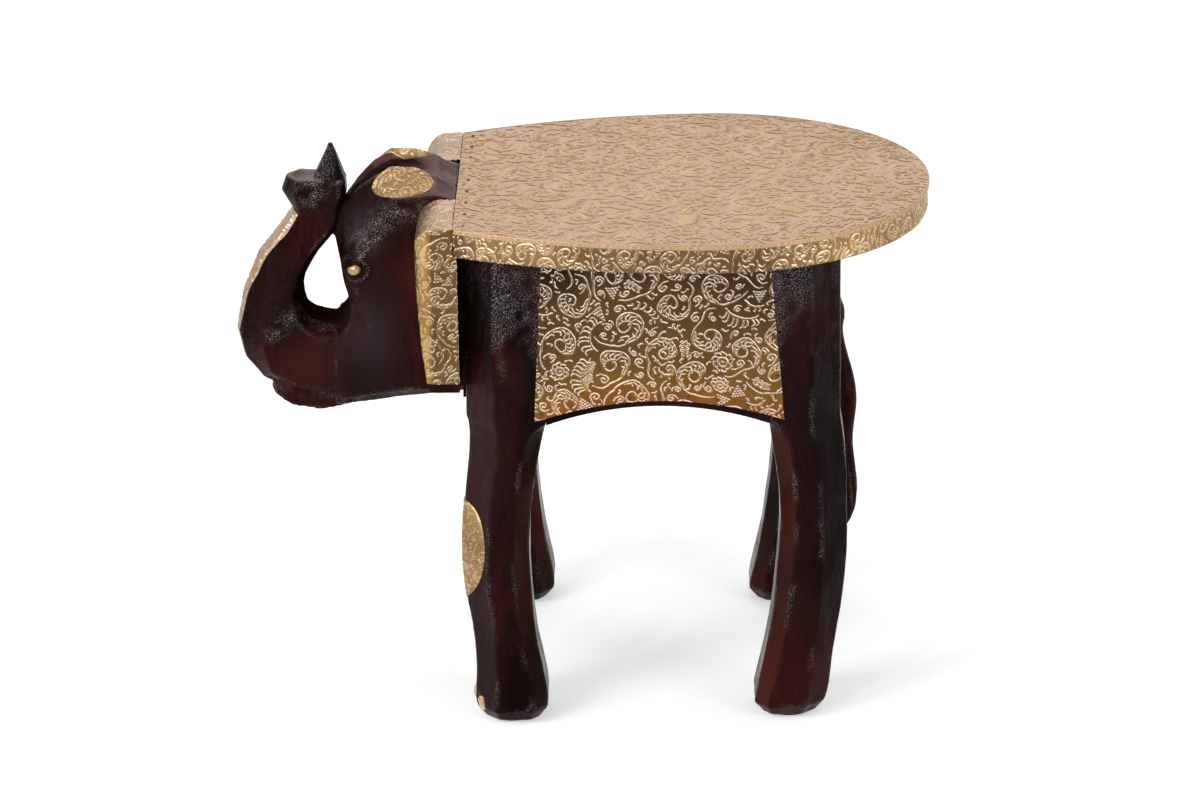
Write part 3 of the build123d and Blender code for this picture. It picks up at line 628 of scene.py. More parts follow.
ear_brass = brass(
    "brass_ear", (0.26, 0.165, 0.07), (0.42, 0.285, 0.14), (0.90, 0.74, 0.54), (0.09, 0.045, 0.018),
    0.36, (0.6, 0.5, 0.4),
    [(0.0, (0.55, 0.50, 0.46)), (0.5, (1.35, 1.35, 1.2)), (1.0, (1.5, 1.55, 2.25))],
)
plate_brass = brass(
    "brass_plates", (0.30, 0.19, 0.09), (0.46, 0.31, 0.165), (0.78, 0.60, 0.41),
    (0.10, 0.055, 0.025), 0.38,
)
strip_brass = brass(
    "brass_trunk", (0.42, 0.285, 0.205), (0.50, 0.345, 0.25), (0.80, 0.66, 0.52),
    (0.16, 0.09, 0.055), 0.38,
)
stud_brass = plain("brass_studs", (0.66, 0.48, 0.27), 1.0, 0.3, 500.0, 0.3)
eye_brass = plain("brass_eyes", (0.40, 0.27, 0.15), 1.0, 0.32, 500.0, 0.3)
pad_black = plain("black_pad", (0.012, 0.011, 0.011), 0.0, 0.7, 900.0, 0.5)
screw_steel = plain("screw_steel", (0.5, 0.5, 0.5), 1.0, 0.35, 700.0, 0.2)
pin_steel = plain("pin_heads", (0.10, 0.07, 0.05), 1.0, 0.4, 700.0, 0.2)

# -------- seat

FRONT_X = -72.0
HALF_FRONT = 91.0  # half the straight front edge
HALF_WIDE = 124.0
WIDE_X = 77.0  # where the seat is widest
REAR_REACH = 130.0  # from there to its rear


def seat_curve(inset, count):
    """Edge of the seat from the left front corner round the rear to the right one."""
    half_wide, reach = HALF_WIDE - inset, REAR_REACH - inset
    run, drop = WIDE_X - FRONT_X, HALF_WIDE - HALF_FRONT
    radius = (run**2 + drop**2) / (2 * drop)
    t = np.linspace(-math.asin(run / radius), 0, 400)
    side = np.stack([WIDE_X + radius * np.sin(t), radius - half_wide - radius * np.cos(t)], 1)
    t = np.linspace(-np.pi / 2, np.pi / 2, 900)
    rear = np.stack([WIDE_X + reach * np.cos(t), half_wide * np.sin(t)], 1)
    return resample(np.concatenate([side, rear[1:], side[::-1][1:] * (1, -1)]), count)


def outward(ahead):
    """Unit vectors to the right of the given headings."""
    return np.stack([ahead[:, 1], -ahead[:, 0]], 1) / np.linalg.norm(ahead, axis=1)[:, None]


def patch(edge_a, edge_b, end_a, end_b, rows, cols):
    """Even grid between two long edges and the two ends that join them."""
    u = np.linspace(0, 1, rows)[:, None, None]
    v = np.linspace(0, 1, cols)[None, :, None]
    long_a, long_b = resample(edge_a, rows)[:, None], resample(edge_b, rows)[:, None]
    short_a, short_b = resample(end_a, cols)[None], resample(end_b, cols)[None]
    corners = (
        (1 - u) * (1 - v) * edge_a[0] + (1 - u) * v * edge_b[0]
        + u * (1 - v) * edge_a[-1] + u * v * edge_b[-1]
    )
    return (1 - v) * long_a + v * long_b + (1 - u) * short_a + u * short_b - corners


seat_relief = foliage(284, 252, 5, 0.36, 0.95, scale=1.15, tries=1.6)
RELIEF_X, RELIEF_Y = 74, 126  # from the corner of the seat's pattern to the frame's origin
GRID_CORNER = 92  # how far behind and beside the widest line the grid turns its rear corners

# Rings of the rolled lip: how far out, how far down, and how much of it is beaded.
SEAT_LIP = [(0.42, 0.32, 0), (0.6, 0.8, 0.2), (0.6, 1.3, 1), (0.6, 1.9, 1), (0.6, 2.5, 0.6),
            (0.6, 3.1, 0), (0.0, 3.2, 0)]


def seat_top_piece():
    """Brass over the seat: a chased top that rolls over the edge into a short lip."""
    rows, cols = int(346 / coarse), int(284 / coarse)
    curve = seat_curve(0.6, 1800)
    turn = WIDE_X + GRID_CORNER - GRID_CORNER * 1.05
    corner = np.argmax(curve[:, 0] - np.abs(curve[:, 1]) * 1.05 > turn)
    left, right = curve[: corner + 1], curve[::-1][: corner + 1]
    rear = curve[corner : len(curve) - corner]
    flat = patch(left, right, np.array([left[0], right[0]]), rear, rows, cols)
    spot = flat[..., 0] + RELIEF_X, flat[..., 1] + RELIEF_Y
    # shine: painted highlight on the pattern's flanks facing +Y, painted shade on those facing -Y.
    chase, shine = seat_relief.at(*spot), seat_relief.lit(*spot)
    border = np.ones((rows, cols))
    border[[0, -1]] = border[:, [0, -1]] = 0
    border[[1, -2], 1:-1] = border[1:-1, [1, -2]] = 0.6
    sag = (0.10 * waves(np.dstack([flat, np.zeros((rows, cols))]), 60, 4)).clip(-0.12, 0.12)
    top = np.dstack([flat, SEAT_TOP - 0.16 - 0.42 * (1 - chase * border) + sag])
    loop = np.concatenate(
        [np.arange(rows) * cols, (rows - 1) * cols + np.arange(1, cols),
         np.arange(rows - 2, -1, -1) * cols + cols - 1, np.arange(cols - 2, 0, -1)]
    )
    verts, faces = [top.reshape(-1, 3)], [grid_faces(rows, cols)[:, ::-1]]
    rim = verts[0][loop]
    ahead = np.roll(rim, -1, 0)[:, :2] - np.roll(rim, 1, 0)[:, :2]
    out = outward(ahead)
    out[np.abs(rim[:, 0] - FRONT_X) < 0.01] = 0
    out *= np.sign(np.einsum("ij,ij->i", out, rim[:, :2] - (60, 0)))[:, None]
    run = np.cumsum(np.linalg.norm(ahead, axis=1)) / 2
    raised, flank = [(chase * border).ravel()], [shine.ravel()]
    previous, base = loop, len(verts[0])
    for reach, drop, share in SEAT_LIP:
        beat = 0.5 + 0.5 * np.sin(run * 2.3 + 3 * np.sin(run * 0.37) + drop) * share
        ring = rim[:, :2] + out * (reach - 0.22 * (1 - beat) * share)[:, None]
        verts.append(np.column_stack([ring, np.full(len(rim), SEAT_TOP - drop)]))
        now = np.arange(base, base + len(rim))
        faces.append(np.stack([previous, now, np.roll(now, -1), np.roll(previous, -1)], 1))
        raised.append(beat * 0.9)
        # Painted highlight and painted shade along the beads.
        flank.append(0.5 + 0.55 * (beat - 0.5) * share)
        previous, base = now, base + len(rim)
    return new_object("seat_top_brass", np.concatenate(verts), np.concatenate(faces),
                      raised=np.concatenate(raised), flank=np.concatenate(flank))


dress(seat_top_piece(), "seat_brass", seat_brass, "seat_top_sheet")

band_relief = foliage(770, 16, 11, 0.28, 0.60, scale=0.75, tries=1.4)
BAND_TOP, BAND_FOOT = 301.85, 287.35


def edge_band_piece():
    """Strip round the seat's edge, tucked in at its foot."""
    curve = seat_curve(SHEET, int(1330 / coarse))
    count, rows = len(curve), int(27 / coarse)
    out = outward(np.gradient(curve, axis=0))[:, None]
    run = np.linspace(0, 768, count)[:, None] * np.ones(rows)
    z = np.linspace(BAND_TOP, BAND_FOOT, rows)[None] * np.ones((count, 1))
    up = z - BAND_FOOT + 0.85
    chase = band_relief.at(run, up) * np.clip(up - 0.8, 0, 1)
    dent = 0.18 * waves(np.dstack([np.repeat(curve[:, None], rows, 1), z]), 24, 8)
    sink = 0.46 * (1 - chase) + np.clip(dent, 0, 0.3)
    sheet = np.dstack([curve[:, None] - out * sink[..., None], z])
    tuck = np.dstack([curve[:, None] - out * 1.2, np.full((count, 1), BAND_FOOT)])
    grid = np.concatenate([sheet, tuck], 1)
    # Painted highlight and shade on the flanks; the tone is painted reflection, darker at the front
    # corner and in the middle of the sides, lighter near the front and towards the rear.
    shine = band_relief.lit(run, up, even=0.4)
    tone = np.interp(grid[..., 0], [-70, -56, -10, 30, 90, 150, 210],
                     [0.0, 0.75, 0.65, 0.4, 0.33, 0.85, 0.95])
    foot = ((0, 0), (0, 1))
    return new_object("seat_edge_brass", grid, grid_faces(count, rows + 1), tone=tone,
                      raised=np.pad(chase, foot), flank=np.pad(shine, foot, constant_values=0.5))


dress(edge_band_piece(), "edge_brass", edge_brass, "seat_edge_band")

# -------- side sheets

side_relief = foliage(150, 104, 3, 0.24, 0.58)
SIDE_Y = 98.0  # face of the side board
SIDE_TOP, SIDE_FOOT, ARCH_RISE = 287.4, 188.0, 12.5


def arch_height(u):
    """Foot of the side sheet, for u from 0 at its front to 1 at its rear."""
    return SIDE_FOOT + ARCH_RISE * (1 - (2 * u - 1) ** 2)


def side_sheet_piece(side, name):
    """Chased sheet over the side board: straight sides that spread downwards, arched foot."""
    rows, cols = int(290 / coarse), int(200 / coarse)
    u = np.linspace(0, 1, rows)[:, None]
    v = np.linspace(0, 1, cols)[None]
    low_z = arch_height(u)
    z = low_z + (SIDE_TOP - low_z) * v
    spread = 1 - (z - SIDE_FOOT) / 99.5
    x_low, x_high = -21 - 6 * spread, 111 + 8 * spread
    x = x_low + (x_high - x_low) * u
    spot = (x + 28) if side < 0 else (120 - x), z - 186  # place in the pattern
    near_edge = np.minimum(np.minimum(u, 1 - u) * 145, np.minimum(v, 1 - v) * 95)
    chase = side_relief.at(*spot) * np.clip(near_edge / 1.2, 0, 1)
    flat = np.dstack([x, np.zeros_like(x), z])
    buckle = 0.06 * waves(flat * (1, 1, 0.6), 30, 21)
    buckle += 0.07 * np.exp(-near_edge / 5) * waves(flat, 11, 22)
    out = np.minimum(0.34 + 0.42 * chase + buckle.clip(-0.10, 0.04), SHEET)
    out = np.where(near_edge <= 0.01, 0.0, out)
    # The tone is darker towards the top, as painted shade under the seat, and warmer and brighter
    # towards the arched foot; golden makes it brighter towards the rear edge.
    height = (z - low_z) / 90 + 0.025 * waves(flat, 40, 23)
    tone = np.interp(height, [0.0, 0.08, 0.22, 0.45, 0.75, 1.0], [1.0, 0.85, 0.6, 0.42, 0.34, 0.0])
    golden = np.interp(x, [60, 112], [0, 0.66]) * np.clip(1.6 - height * 1.4, 0, 1)
    faces = grid_faces(rows, cols)
    # flank: painted highlights on the flanks facing up.
    return new_object(name, np.dstack([x, side * (SIDE_Y + out), z]),
                      faces[:, ::-1] if side < 0 else faces, raised=chase,
                      tone=np.maximum(tone, golden), flank=side_relief.lit(*spot, even=0.5))


for side_name, side in SIDES:
    dress(side_sheet_piece(side, "side_brass_" + side_name), "side_brass", side_brass,
          "side_sheet_" + side_name)

# -------- ears

ear_relief = foliage(100, 150, 17, 0.24, 0.60, scale=0.8)
EAR_FRONT, EAR_FOOT, EAR_EDGE = -94.6, 209.5, 91.0
HALF_NECK = 37  # where an ear's sheet starts beside the neck


def ear_sheet_piece(side_name, side):
    """Chased sheet bent round the front, the outer side and the crown of an ear."""
    obj = remeshed("ear_brass_" + side_name, ["ear_" + side_name, "ear_sheet_" + side_name], 0.62)
    verts, normals, edges = mesh_arrays(obj.data)
    verts = smoothed(verts, edges, 1)
    behind = verts[:, 0] - EAR_FRONT
    crown = normals[:, 2] > 0.6
    side_turn = (np.abs(normals[:, 1]) > np.abs(normals[:, 0])) & ~crown
    run = np.where(side_turn, EAR_EDGE + behind, np.abs(verts[:, 1])) - HALF_NECK
    up = verts[:, 2] - EAR_FOOT + np.where(crown, behind, 0)
    spot = run.clip(0, 99), up.clip(0, 149)
    chase = ear_relief.at(*spot) * np.clip((verts[:, 2] - EAR_FOOT - 0.6) / 1.2, 0, 1)
    ripple = waves(verts, 18, 31) * 0.08 + waves(verts, 7, 32) * 0.03
    sink = 0.30 * (1 - chase) + np.clip(ripple, 0, 0.10) - 0.22
    sink -= 0.5 * rise(verts[:, 2], 242, 212) * (normals[:, 0] < -0.5)  # clears the wood low down
    verts = verts - normals * sink[:, None]
    put_back(obj.data, verts)
    # The tone is painted light by facing: darker on the outer side behind its front edge, brighter
    # on the front, paler and pinker on the crown; shine gives painted highlights and shade on the
    # flanks, on the crown mostly shade.
    turn_in = np.clip((verts[:, 0] - EAR_FRONT - 6.5) / 3.5, 0, 1)
    tone = np.where(crown, 1.0, np.where(side_turn, 0.5 - 0.5 * turn_in, 0.5))
    shine = 0.5 + (ear_relief.lit(*spot, even=0.4) - 0.5) * np.where(tone > 0.3, 0.62, 1.0)
    shine = np.where(crown, np.minimum(1.5 * shine - 0.25, 0.66), shine)
    add_fields(obj.data, raised=chase, flank=shine, tone=tone)
    bm = bmesh.new()
    bm.from_mesh(obj.data)
    hidden = [
        f for f in bm.faces
        if f.calc_center_median().z < EAR_FOOT * MM or f.normal.x > 0.7 or f.normal.y * side < -0.7
    ]
    bmesh.ops.delete(bm, geom=hidden, context="FACES")
    bm.to_mesh(obj.data)
    bm.free()
    return obj


for side_name, side in SIDES:
    dress(ear_sheet_piece(side_name, side), "ear_brass", ear_brass, "ear_sheet_" + side_name)

# -------- carved wood

SEAM = [(-141.0, 241.0), (-147.0, 226.0)]  # low in the head's opening, rubbed round
SEAM_REACH = 8.5


def carved(name, source, voxel, grain_seed, shape=None, rounds=3, add_glint_paint_and_pebble=None, painted_light=None):
    """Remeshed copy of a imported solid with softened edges, tool marks and its own carving."""
    obj = remeshed(name, [source], voxel)
    verts, normals, edges = mesh_arrays(obj.data)
    verts = smoothed(verts, edges, rounds)
    if source == "head":
        near = bell(line_gap(verts, SEAM), 0, SEAM_REACH)
        verts += (averaged(verts, edges, 45) - verts) * near[:, None]
    long_way = verts * (1, 1, 0.35)
    marks = 0.16 * waves(long_way, 16, grain_seed) + 0.05 * waves(long_way, 6, grain_seed + 1)
    verts = verts + normals * marks[:, None].clip(-0.45, 0.15)
    if shape:
        verts = shape(verts, normals)
    put_back(obj.data, verts)
    verts, normals, edges = mesh_arrays(obj.data)
    # Painted glint dots, with a rougher pebble, on convex edges and wherever the given function
    # adds them.
    ridge = ((verts - averaged(verts, edges, 12)) * normals).sum(1)
    rubbed = np.clip(ridge / 0.6 - 0.3, 0, 0.4) * np.clip(0.1 + 0.6 * waves(verts, 26, 90), 0, 1)
    if add_glint_paint_and_pebble:
        rubbed = np.maximum(rubbed, add_glint_paint_and_pebble(verts, normals))
    x, z = verts[:, 0], verts[:, 2]
    # A painted grey-purple sheen on the upward faces of the neck's and the trunk's top.
    faded = 0.9 * np.clip(normals[:, 2] * 4.5 - 3.1, 0, 1)
    faded *= (z > 285) & (x > -135) | (z > 300) & (x < -140)  # the neck's and the trunk's top
    normals = averaged(normals, edges, 4)
    # Painted reflection, painted red and painted black shade, from the given function.
    clouded, redder, blackened = painted_light(verts, normals) if painted_light else (0 * x, 0 * x, 0 * x)
    add_fields(obj.data, rubbed=rubbed, faded=faded, clouded=clouded, redder=redder,
               blackened=blackened)
    dress(obj, "carved_wood", lacquer, source)
    return obj


def tree_of(obj):
    verts = [tuple(v.co / MM) for v in obj.data.vertices]
    return BVHTree.FromPolygons(verts, [tuple(p.vertices) for p in obj.data.polygons])


# A painted-light function gives the shares of painted grey-purple reflection, of painted warm red
# and of painted black shade.
def front_painted_light(verts, normals):
    """Painted grey-purple reflection low on the front faces of a leg, painted red on its rear
    corner, painted black shade beside the ear.
    """
    behind = normals[:, 0]
    high = rise(verts[:, 2], 200, 232) * rise(-behind, 0.1, 0.5)
    return 0.42 * rise(-behind, 0.2, 0.6) * (1 - high), rise(behind, 0.35, 0.75), 0.95 * high


def rear_painted_light(verts, normals):
    """Painted red on the front corner and low down, painted black shade half-way up."""
    z, behind = verts[:, 2], normals[:, 0]
    dark = 0.85 * rise(z, 80, 125) * rise(z, 262, 225) * rise(behind, -0.3, 0.1)
    low = 0.4 * rise(z, 110, 60) * rise(behind, -0.2, 0.1)
    return 0 * z, np.maximum(0.9 * rise(-behind, 0.25, 0.6), low), dark


def head_painted_light(verts, normals):
    """Painted grey-purple reflection on cheek and brow, painted red on trunk, jaw and temple,
    painted black shade between the domes.
    """
    x, y, z = verts.T
    cheek = bell(x, -124, 17) * bell(z, 222, 26)
    brow = bell(x, -128, 13) * bell(z, 284, 11)
    trunk = bell(x, -196, 15) * bell(z, 242, 34)
    jaw = bell(x, -163, 15) * bell(z, 198, 14)
    temple = 0.8 * bell(x, -104, 10) * bell(z, 262, 20)
    valley = rise(np.abs(y), 13, 7) * rise(z, 288, 294) * rise(normals[:, 1], 0.05, -0.1)
    red = np.maximum(np.maximum(trunk, jaw), temple)
    return 0.9 * np.maximum(cheek, brow), 0.7 * red, 0.8 * valley


def leg_glint_paint_and_pebble(verts, normals):
    """Painted glint dots and a rougher pebble high on the legs, fading downwards in streaks."""
    streak = waves(verts * (1, 1, 0.25), 18, 95) + 0.5 * waves(verts, 11, 96)
    most = 0.55 + 0.35 * (verts[:, 0] > 50)
    middle = np.clip(1.3 - np.abs(normals[:, 0]) * 1.6, 0, 1)
    return np.clip(0.8 * (verts[:, 2] - 232) / 60 - 0.1 + 0.25 * streak, 0, most) * middle


legs = {}
for seed, leg in enumerate(("front_left", "front_right", "rear_left", "rear_right")):
    legs[leg] = carved("carved_leg_" + leg, "leg_" + leg, 1.15, 40 + 3 * seed, add_glint_paint_and_pebble=leg_glint_paint_and_pebble,
                       painted_light=front_painted_light if "front" in leg else rear_painted_light)

# Lines in the side view that the head is worked along.
MOUTH = [(-136.5, 245.5), (-131.5, 237.0), (-126.5, 228.7)]
CHEEK = [(-148.8, 226.0), (-149.4, 207.0), (-150.5, 184.0)]
SHOULDER = [(-184.6, 216.5), (-166.8, 229.0), (-149.5, 218.6)]
LIP = [(-186.0, 186.5), (-172.2, 181.7), (-157.4, 178.6), (-136.5, 177.5)]
BROW = [(-134.0, 276.5), (-123.0, 289.0), (-111.0, 299.0), (-96.0, 302.0)]
GLINT = [(-115.0, 283.5), (-122.0, 279.0), (-129.0, 269.0)]
BAND = [(-131.0, 276.5), (-118.0, 290.5), (-106.0, 298.5), (-92.0, 300.0)]
FINGER = [(-159.0, 300.0), (-155.0, 313.0), (-152.5, 325.0)]
EYE = (-132.5, 261.0)
EYE_RING = 6.6

CUTS = ((MOUTH, 4.6, 1.7), (CHEEK, 4.0, 0.9), (SHOULDER, 6.0, -0.7), (LIP, 2.4, 1.5),
        (BROW, 7.0, -0.8), (GLINT, 2.4, -0.8))  # reach and depth
# Lines with painted glint dots and a rougher pebble, as path, reach and most.
GLINT_PAINT_LINES = ((BAND, 6.5, 0.8), (SHOULDER, 4.5, 0.55), (LIP, 3.0, 0.4), (FINGER, 7.0, 0.85))


def eye_gap(verts):
    return np.hypot((verts[:, 0] - EYE[0]) * 0.85, verts[:, 2] - EYE[1])


def head_shape(verts, normals):
    for path, reach, depth in CUTS:
        verts = carve(verts, normals, path, reach, depth)
    gap = eye_gap(verts)
    rim = 0.9 * bell(gap, EYE_RING, 1.1) - bell(gap, 4.6, 1.1) - 0.6 * bell(gap, 9.0, 1.4)
    rim *= np.clip(np.abs(normals[:, 1]) * 3 - 1.2, 0, 1)
    return verts + normals * rim[:, None]


def head_glint_paint_and_pebble(verts, normals):
    """Painted glint dots and a rougher pebble along the brow, the shoulder, the lip and up the
    trunk's finger, and painted highlights round the eye and along the chiselled edge.
    """
    sideways = np.abs(normals[:, 1])
    glint_paint_share = 0.15 * np.clip(-normals[:, 0] * 2 - 0.6, 0, 1) * (verts[:, 0] < -168)
    for path, reach, most in GLINT_PAINT_LINES:
        glint_paint_share = np.maximum(glint_paint_share, most * bell(line_gap(verts, path), 0, reach))
    glint_paint_share *= np.clip(sideways * 2 - 0.2, 0, 1) * np.clip(0.75 + 0.5 * waves(verts, 8, 97), 0, 1)
    ring = 0.6 * bell(eye_gap(verts), EYE_RING, 0.9) * sideways
    edge = 1.4 * bell(line_gap(verts, GLINT), 0, 1.5) * np.clip(sideways * 3, 0, 1)
    return np.maximum(glint_paint_share, np.maximum(ring, edge))


head = carved("carved_head", "head", 0.95, 60, head_shape, rounds=2, add_glint_paint_and_pebble=head_glint_paint_and_pebble, painted_light=head_painted_light)

# Inside the opening between trunk and face, the darker lacquer without gloss is painted shade.
head.data.materials.append(inner_shade_lacquer)
centres = read(head.data.polygons, "center") / MM
inside = (np.abs(centres[:, 0] + 154) < 22) & (np.abs(centres[:, 2] - 252) < 34)
inside &= np.abs(read(head.data.polygons, "normal")[:, 1]) < 0.6
head.data.polygons.foreach_set("material_index", inside.astype(np.int32))


def tail_shape(verts, normals):
    """Twisted strands at the tuft, and a knot over the peg."""
    y, z = verts[:, 1], verts[:, 2]
    turn = np.arctan2(y, verts[:, 0] - 157.0)
    strand = np.sin(turn * 11 + z * 0.12)
    tuft = np.clip((138 - z) / 10, 0, 1)
    knot = bell(z, 219, 7) * bell(y, 0, 5) * (normals[:, 0] > 0)
    return verts + normals * (0.55 * (strand - 0.6) * tuft + 2.5 * knot)[:, None]


carved("carved_tail", "tail", 0.7, 70, tail_shape, rounds=2)

for material, names in (
    (lacquer, ("front_apron", "rear_apron", "side_apron_left", "side_apron_right", "ear_left",
               "ear_right")),
    (under_wood, ("seat_board", "tail_peg")),
    (dowel_wood, ("apron_dowels", "head_dowels", "ear_dowels")),
    (pad_black, ("foot_pads",)),
    (screw_steel, ("seat_screws",)),
):
    for name in names:
        paint(nodes[name], material)

# -------- brass plates and studs

plate_relief = foliage(120, 120, 23, 0.22, 0.44, scale=0.46, tries=2.6)
RELIEF_MIDDLE = 60
PLATE_GROUND, PLATE_RISE = 0.28, 0.44  # height of a plate's ground, and of its pattern over that


def cast(tree, place, aim, back, reach):
    """Point and normal where a ray through place meets the wood, or else the nearest ones."""
    place, aim = Vector(place), Vector(aim)
    hit, normal = tree.ray_cast(place - aim * back, aim, reach)[:2]
    if hit is None:
        hit, normal = tree.find_nearest(place)[:2]
    return np.array(hit), np.array(normal)


def laid_on(name, tree, outline, origin, across, along, aim, profile, relief=None, rings=40,
            toward=(1, 0)):
    """Plate or dome laid on carved wood: rays cast along aim from rings of a flat outline."""
    origin, across, along, aim = (np.array(v, float) for v in (origin, across, along, aim))
    count = len(outline)
    flat = np.concatenate([outline * share for share in np.linspace(0.004, 1, rings)])
    shares = np.repeat(np.linspace(0.004, 1, rings), count)
    spot = (flat + RELIEF_MIDDLE).T
    chase, shine = np.ones(len(flat)), np.full(len(flat), 0.5)
    # shine: painted highlight on flanks facing the way toward, painted shade on those facing away.
    if relief is not None:
        chase, shine = relief.at(*spot), relief.lit(*spot, toward)
    points = []
    for (a, b), share, level in zip(flat, shares, chase):
        hit, normal = cast(tree, origin + across * a + along * b, aim, 40, 90)
        if normal @ aim > 0:
            normal = -normal
        points.append(hit + normal * profile(share, level))
    faces = grid_faces(rings, count, closed=True).tolist()
    faces.append(list(range(count))[::-1])
    obj = new_object(name, points, faces, raised=chase, flank=shine)
    bm = bmesh.new()
    bm.from_mesh(obj.data)
    bmesh.ops.recalc_face_normals(bm, faces=bm.faces)
    if sum(f.calc_area() * f.normal.dot(Vector(aim)) for f in bm.faces) > 0:
        bmesh.ops.reverse_faces(bm, faces=bm.faces)
    bm.to_mesh(obj.data)
    bm.free()
    return obj


def plate_profile(share, chase):
    """Height of a plate over the wood: down to it at the edge, then a plain rim."""
    for start, height in ((0.995, 0.0), (0.955, 0.5), (0.90, 0.72)):
        if share > start:
            return height
    return PLATE_GROUND + PLATE_RISE * chase


def dome(height, power):
    return lambda share, chase: height * max(0.0, 1 - share**2) ** power


def oval(length, width, count=180, point=1.0):
    """Outline of an ellipse, drawn out to points where point is over 1."""
    t = np.linspace(0, 2 * np.pi, count, endpoint=False)
    return np.stack([length / 2 * np.cos(t), width / 2 * np.sign(np.sin(t))
                     * np.abs(np.sin(t)) ** point], 1)


# Toe studs as (x, y, z) on the left foot and the way each nail points into the wood.
STUDS = (((-64.3, -89.2, 14.0), (1, 0)), ((-60.4, -100.8, 11.0), (0.707, 0.707)),
         ((-61.2, -77.6, 11.0), (0.707, -0.707)))
# Brow plates, as middle and tilt. The far one lies nearer the crest of its dome.
BROW_PLATES = {-1: ((-103.5, -25.2, 312.2), 42), 1: ((-102.5, 24.0, 313.0), 39)}
eye_outline = oval(7.6, 6.2, 40)
eye_outline[:, 0] -= 0.9 * np.abs(eye_outline[:, 0] / 3.8) * (eye_outline[:, 0] < 0)
head_tree = tree_of(head)

for side_name, side in SIDES:
    leg_tree = tree_of(legs["front_" + side_name])
    dress(
        laid_on("knee_brass_" + side_name, leg_tree, oval(64, 40), (-67, side * 83.5, 104),
                (0, 0, 1), (0, 1, 0), (1, 0, 0), plate_profile, plate_relief),
        "plate_brass", plate_brass, "knee_plate_" + side_name,
    )
    middle, tilt = BROW_PLATES[side]
    tilt = math.radians(tilt)
    dress(
        laid_on("brow_brass_" + side_name, head_tree, oval(37.2, 22.2, point=1.15), middle,
                (-1, 0, 0), (0, side * math.cos(tilt), -math.sin(tilt)),
                (0, -side * math.sin(tilt), -math.cos(tilt)), plate_profile, plate_relief,
                toward=(0, -1)),
        "plate_brass", plate_brass, "brow_plate_" + side_name,
    )
    studs = [
        laid_on(f"stud_{side_name}_{k}", leg_tree, oval(10, 6, 40), (x, -side * y, z), (0, 0, 1),
                (side * aim_y, aim_x, 0), (aim_x, -side * aim_y, 0), dome(2.5, 0.6), rings=18)
        for k, ((x, y, z), (aim_x, aim_y)) in enumerate(STUDS)
    ]
    bpy.context.view_layer.update()
    with bpy.context.temp_override(active_object=studs[0], selected_editable_objects=studs):
        bpy.ops.object.join()
    studs[0].name = "toe_stud_domes_" + side_name
    dress(studs[0], "stud_brass", stud_brass, "toe_studs_" + side_name)
    dress(
        laid_on("eye_dome_" + side_name, head_tree, eye_outline, (EYE[0], side * 36, EYE[1]),
                (0.94, 0, 0.34), (-0.34, 0, 0.94), (0, -side, 0), dome(2.3, 0.55), rings=14),
        "stud_brass", eye_brass, "eye_" + side_name,
    )

PIN_RINGS = ((1.05, -0.2), (0.95, 0.2), (0.55, 0.42))  # radius and height
PIN_TURNS = 10


def pins():
    """Small nail heads along the seat's front edge and round the side sheets."""
    places = [((-66.0, y, SEAT_TOP - 0.2), (0, 0, 1)) for y in np.linspace(-84, 84, 9)]
    for _, side in SIDES:
        out, y = (0, side, 0), side * (SIDE_Y + 0.6)
        for u in np.linspace(0.03, 0.97, 9):
            places.append(((-27 + 146 * u, y, arch_height(u) + 3), out))
        for z in (215.0, 240.0, 264.0):
            spread = 6 * (1 - (z - SIDE_FOOT) / 99.5)
            places.append(((-19 - spread, y, z), out))
            places.append(((109 + 1.33 * spread, y, z), out))
    verts, faces = [], []
    first = np.array([1.0, 0, 0])
    for place, out in places:
        out = np.array(out, float)
        second = np.cross(out, first)
        base = len(verts)
        for radius, lift in PIN_RINGS:
            for t in np.linspace(0, 2 * np.pi, PIN_TURNS, endpoint=False):
                verts.append(place + radius * (first * np.cos(t) + second * np.sin(t)) + out * lift)
        faces += (grid_faces(len(PIN_RINGS), PIN_TURNS, closed=True) + base).tolist()
        faces.append(list(range(len(verts) - PIN_TURNS, len(verts))))
    return new_object("brass_pins", verts, faces)


dress(pins(), "steel", pin_steel)

TRUNK_LINE = [(-206.2, 214.0), (-201.3, 237.5), (-191.6, 260.4), (-179.9, 275.8), (-170.0, 289.5)]
STRIP_HALF = 10
STRIP_ROWS, STRIP_COLS = 150, 48
STRIP_STEP = 0.57  # length of a row


def trunk_strip():
    """Brass strip down the front of the trunk."""
    line = resample(TRUNK_LINE, STRIP_ROWS)
    ahead = np.gradient(line, axis=0)
    ahead /= np.linalg.norm(ahead, axis=1)[:, None]
    points, spots = [], []
    for k, ((x, z), (tx, tz)) in enumerate(zip(line, ahead)):
        for y in np.linspace(-STRIP_HALF, STRIP_HALF, STRIP_COLS):
            hit, normal = cast(head_tree, (x, y, z), (tz, 0, -tx), 30, 60)
            spots.append((y + RELIEF_MIDDLE, k * STRIP_STEP + 5))
            ends = min(k, STRIP_ROWS - 1 - k) * STRIP_STEP < 0.4
            rim = ends or abs(abs(y) - STRIP_HALF) < 0.3
            lift = 0.0 if rim else plate_profile(0, plate_relief.at(*spots[-1]))
            points.append(hit + normal * lift)
    spots = np.array(spots).T
    # flank: painted highlight and shade on the strip's flanks.
    return new_object("trunk_brass", points, grid_faces(STRIP_ROWS, STRIP_COLS)[:, ::-1],
                      raised=plate_relief.at(*spots), flank=plate_relief.lit(*spots))


dress(trunk_strip(), "plate_brass", strip_brass, "trunk_plate")

# -------- stage, light and camera

FLOOR_GLOW = 0.44  # brings the lit floor to white for the camera
WORLD_LIGHT = 0.55


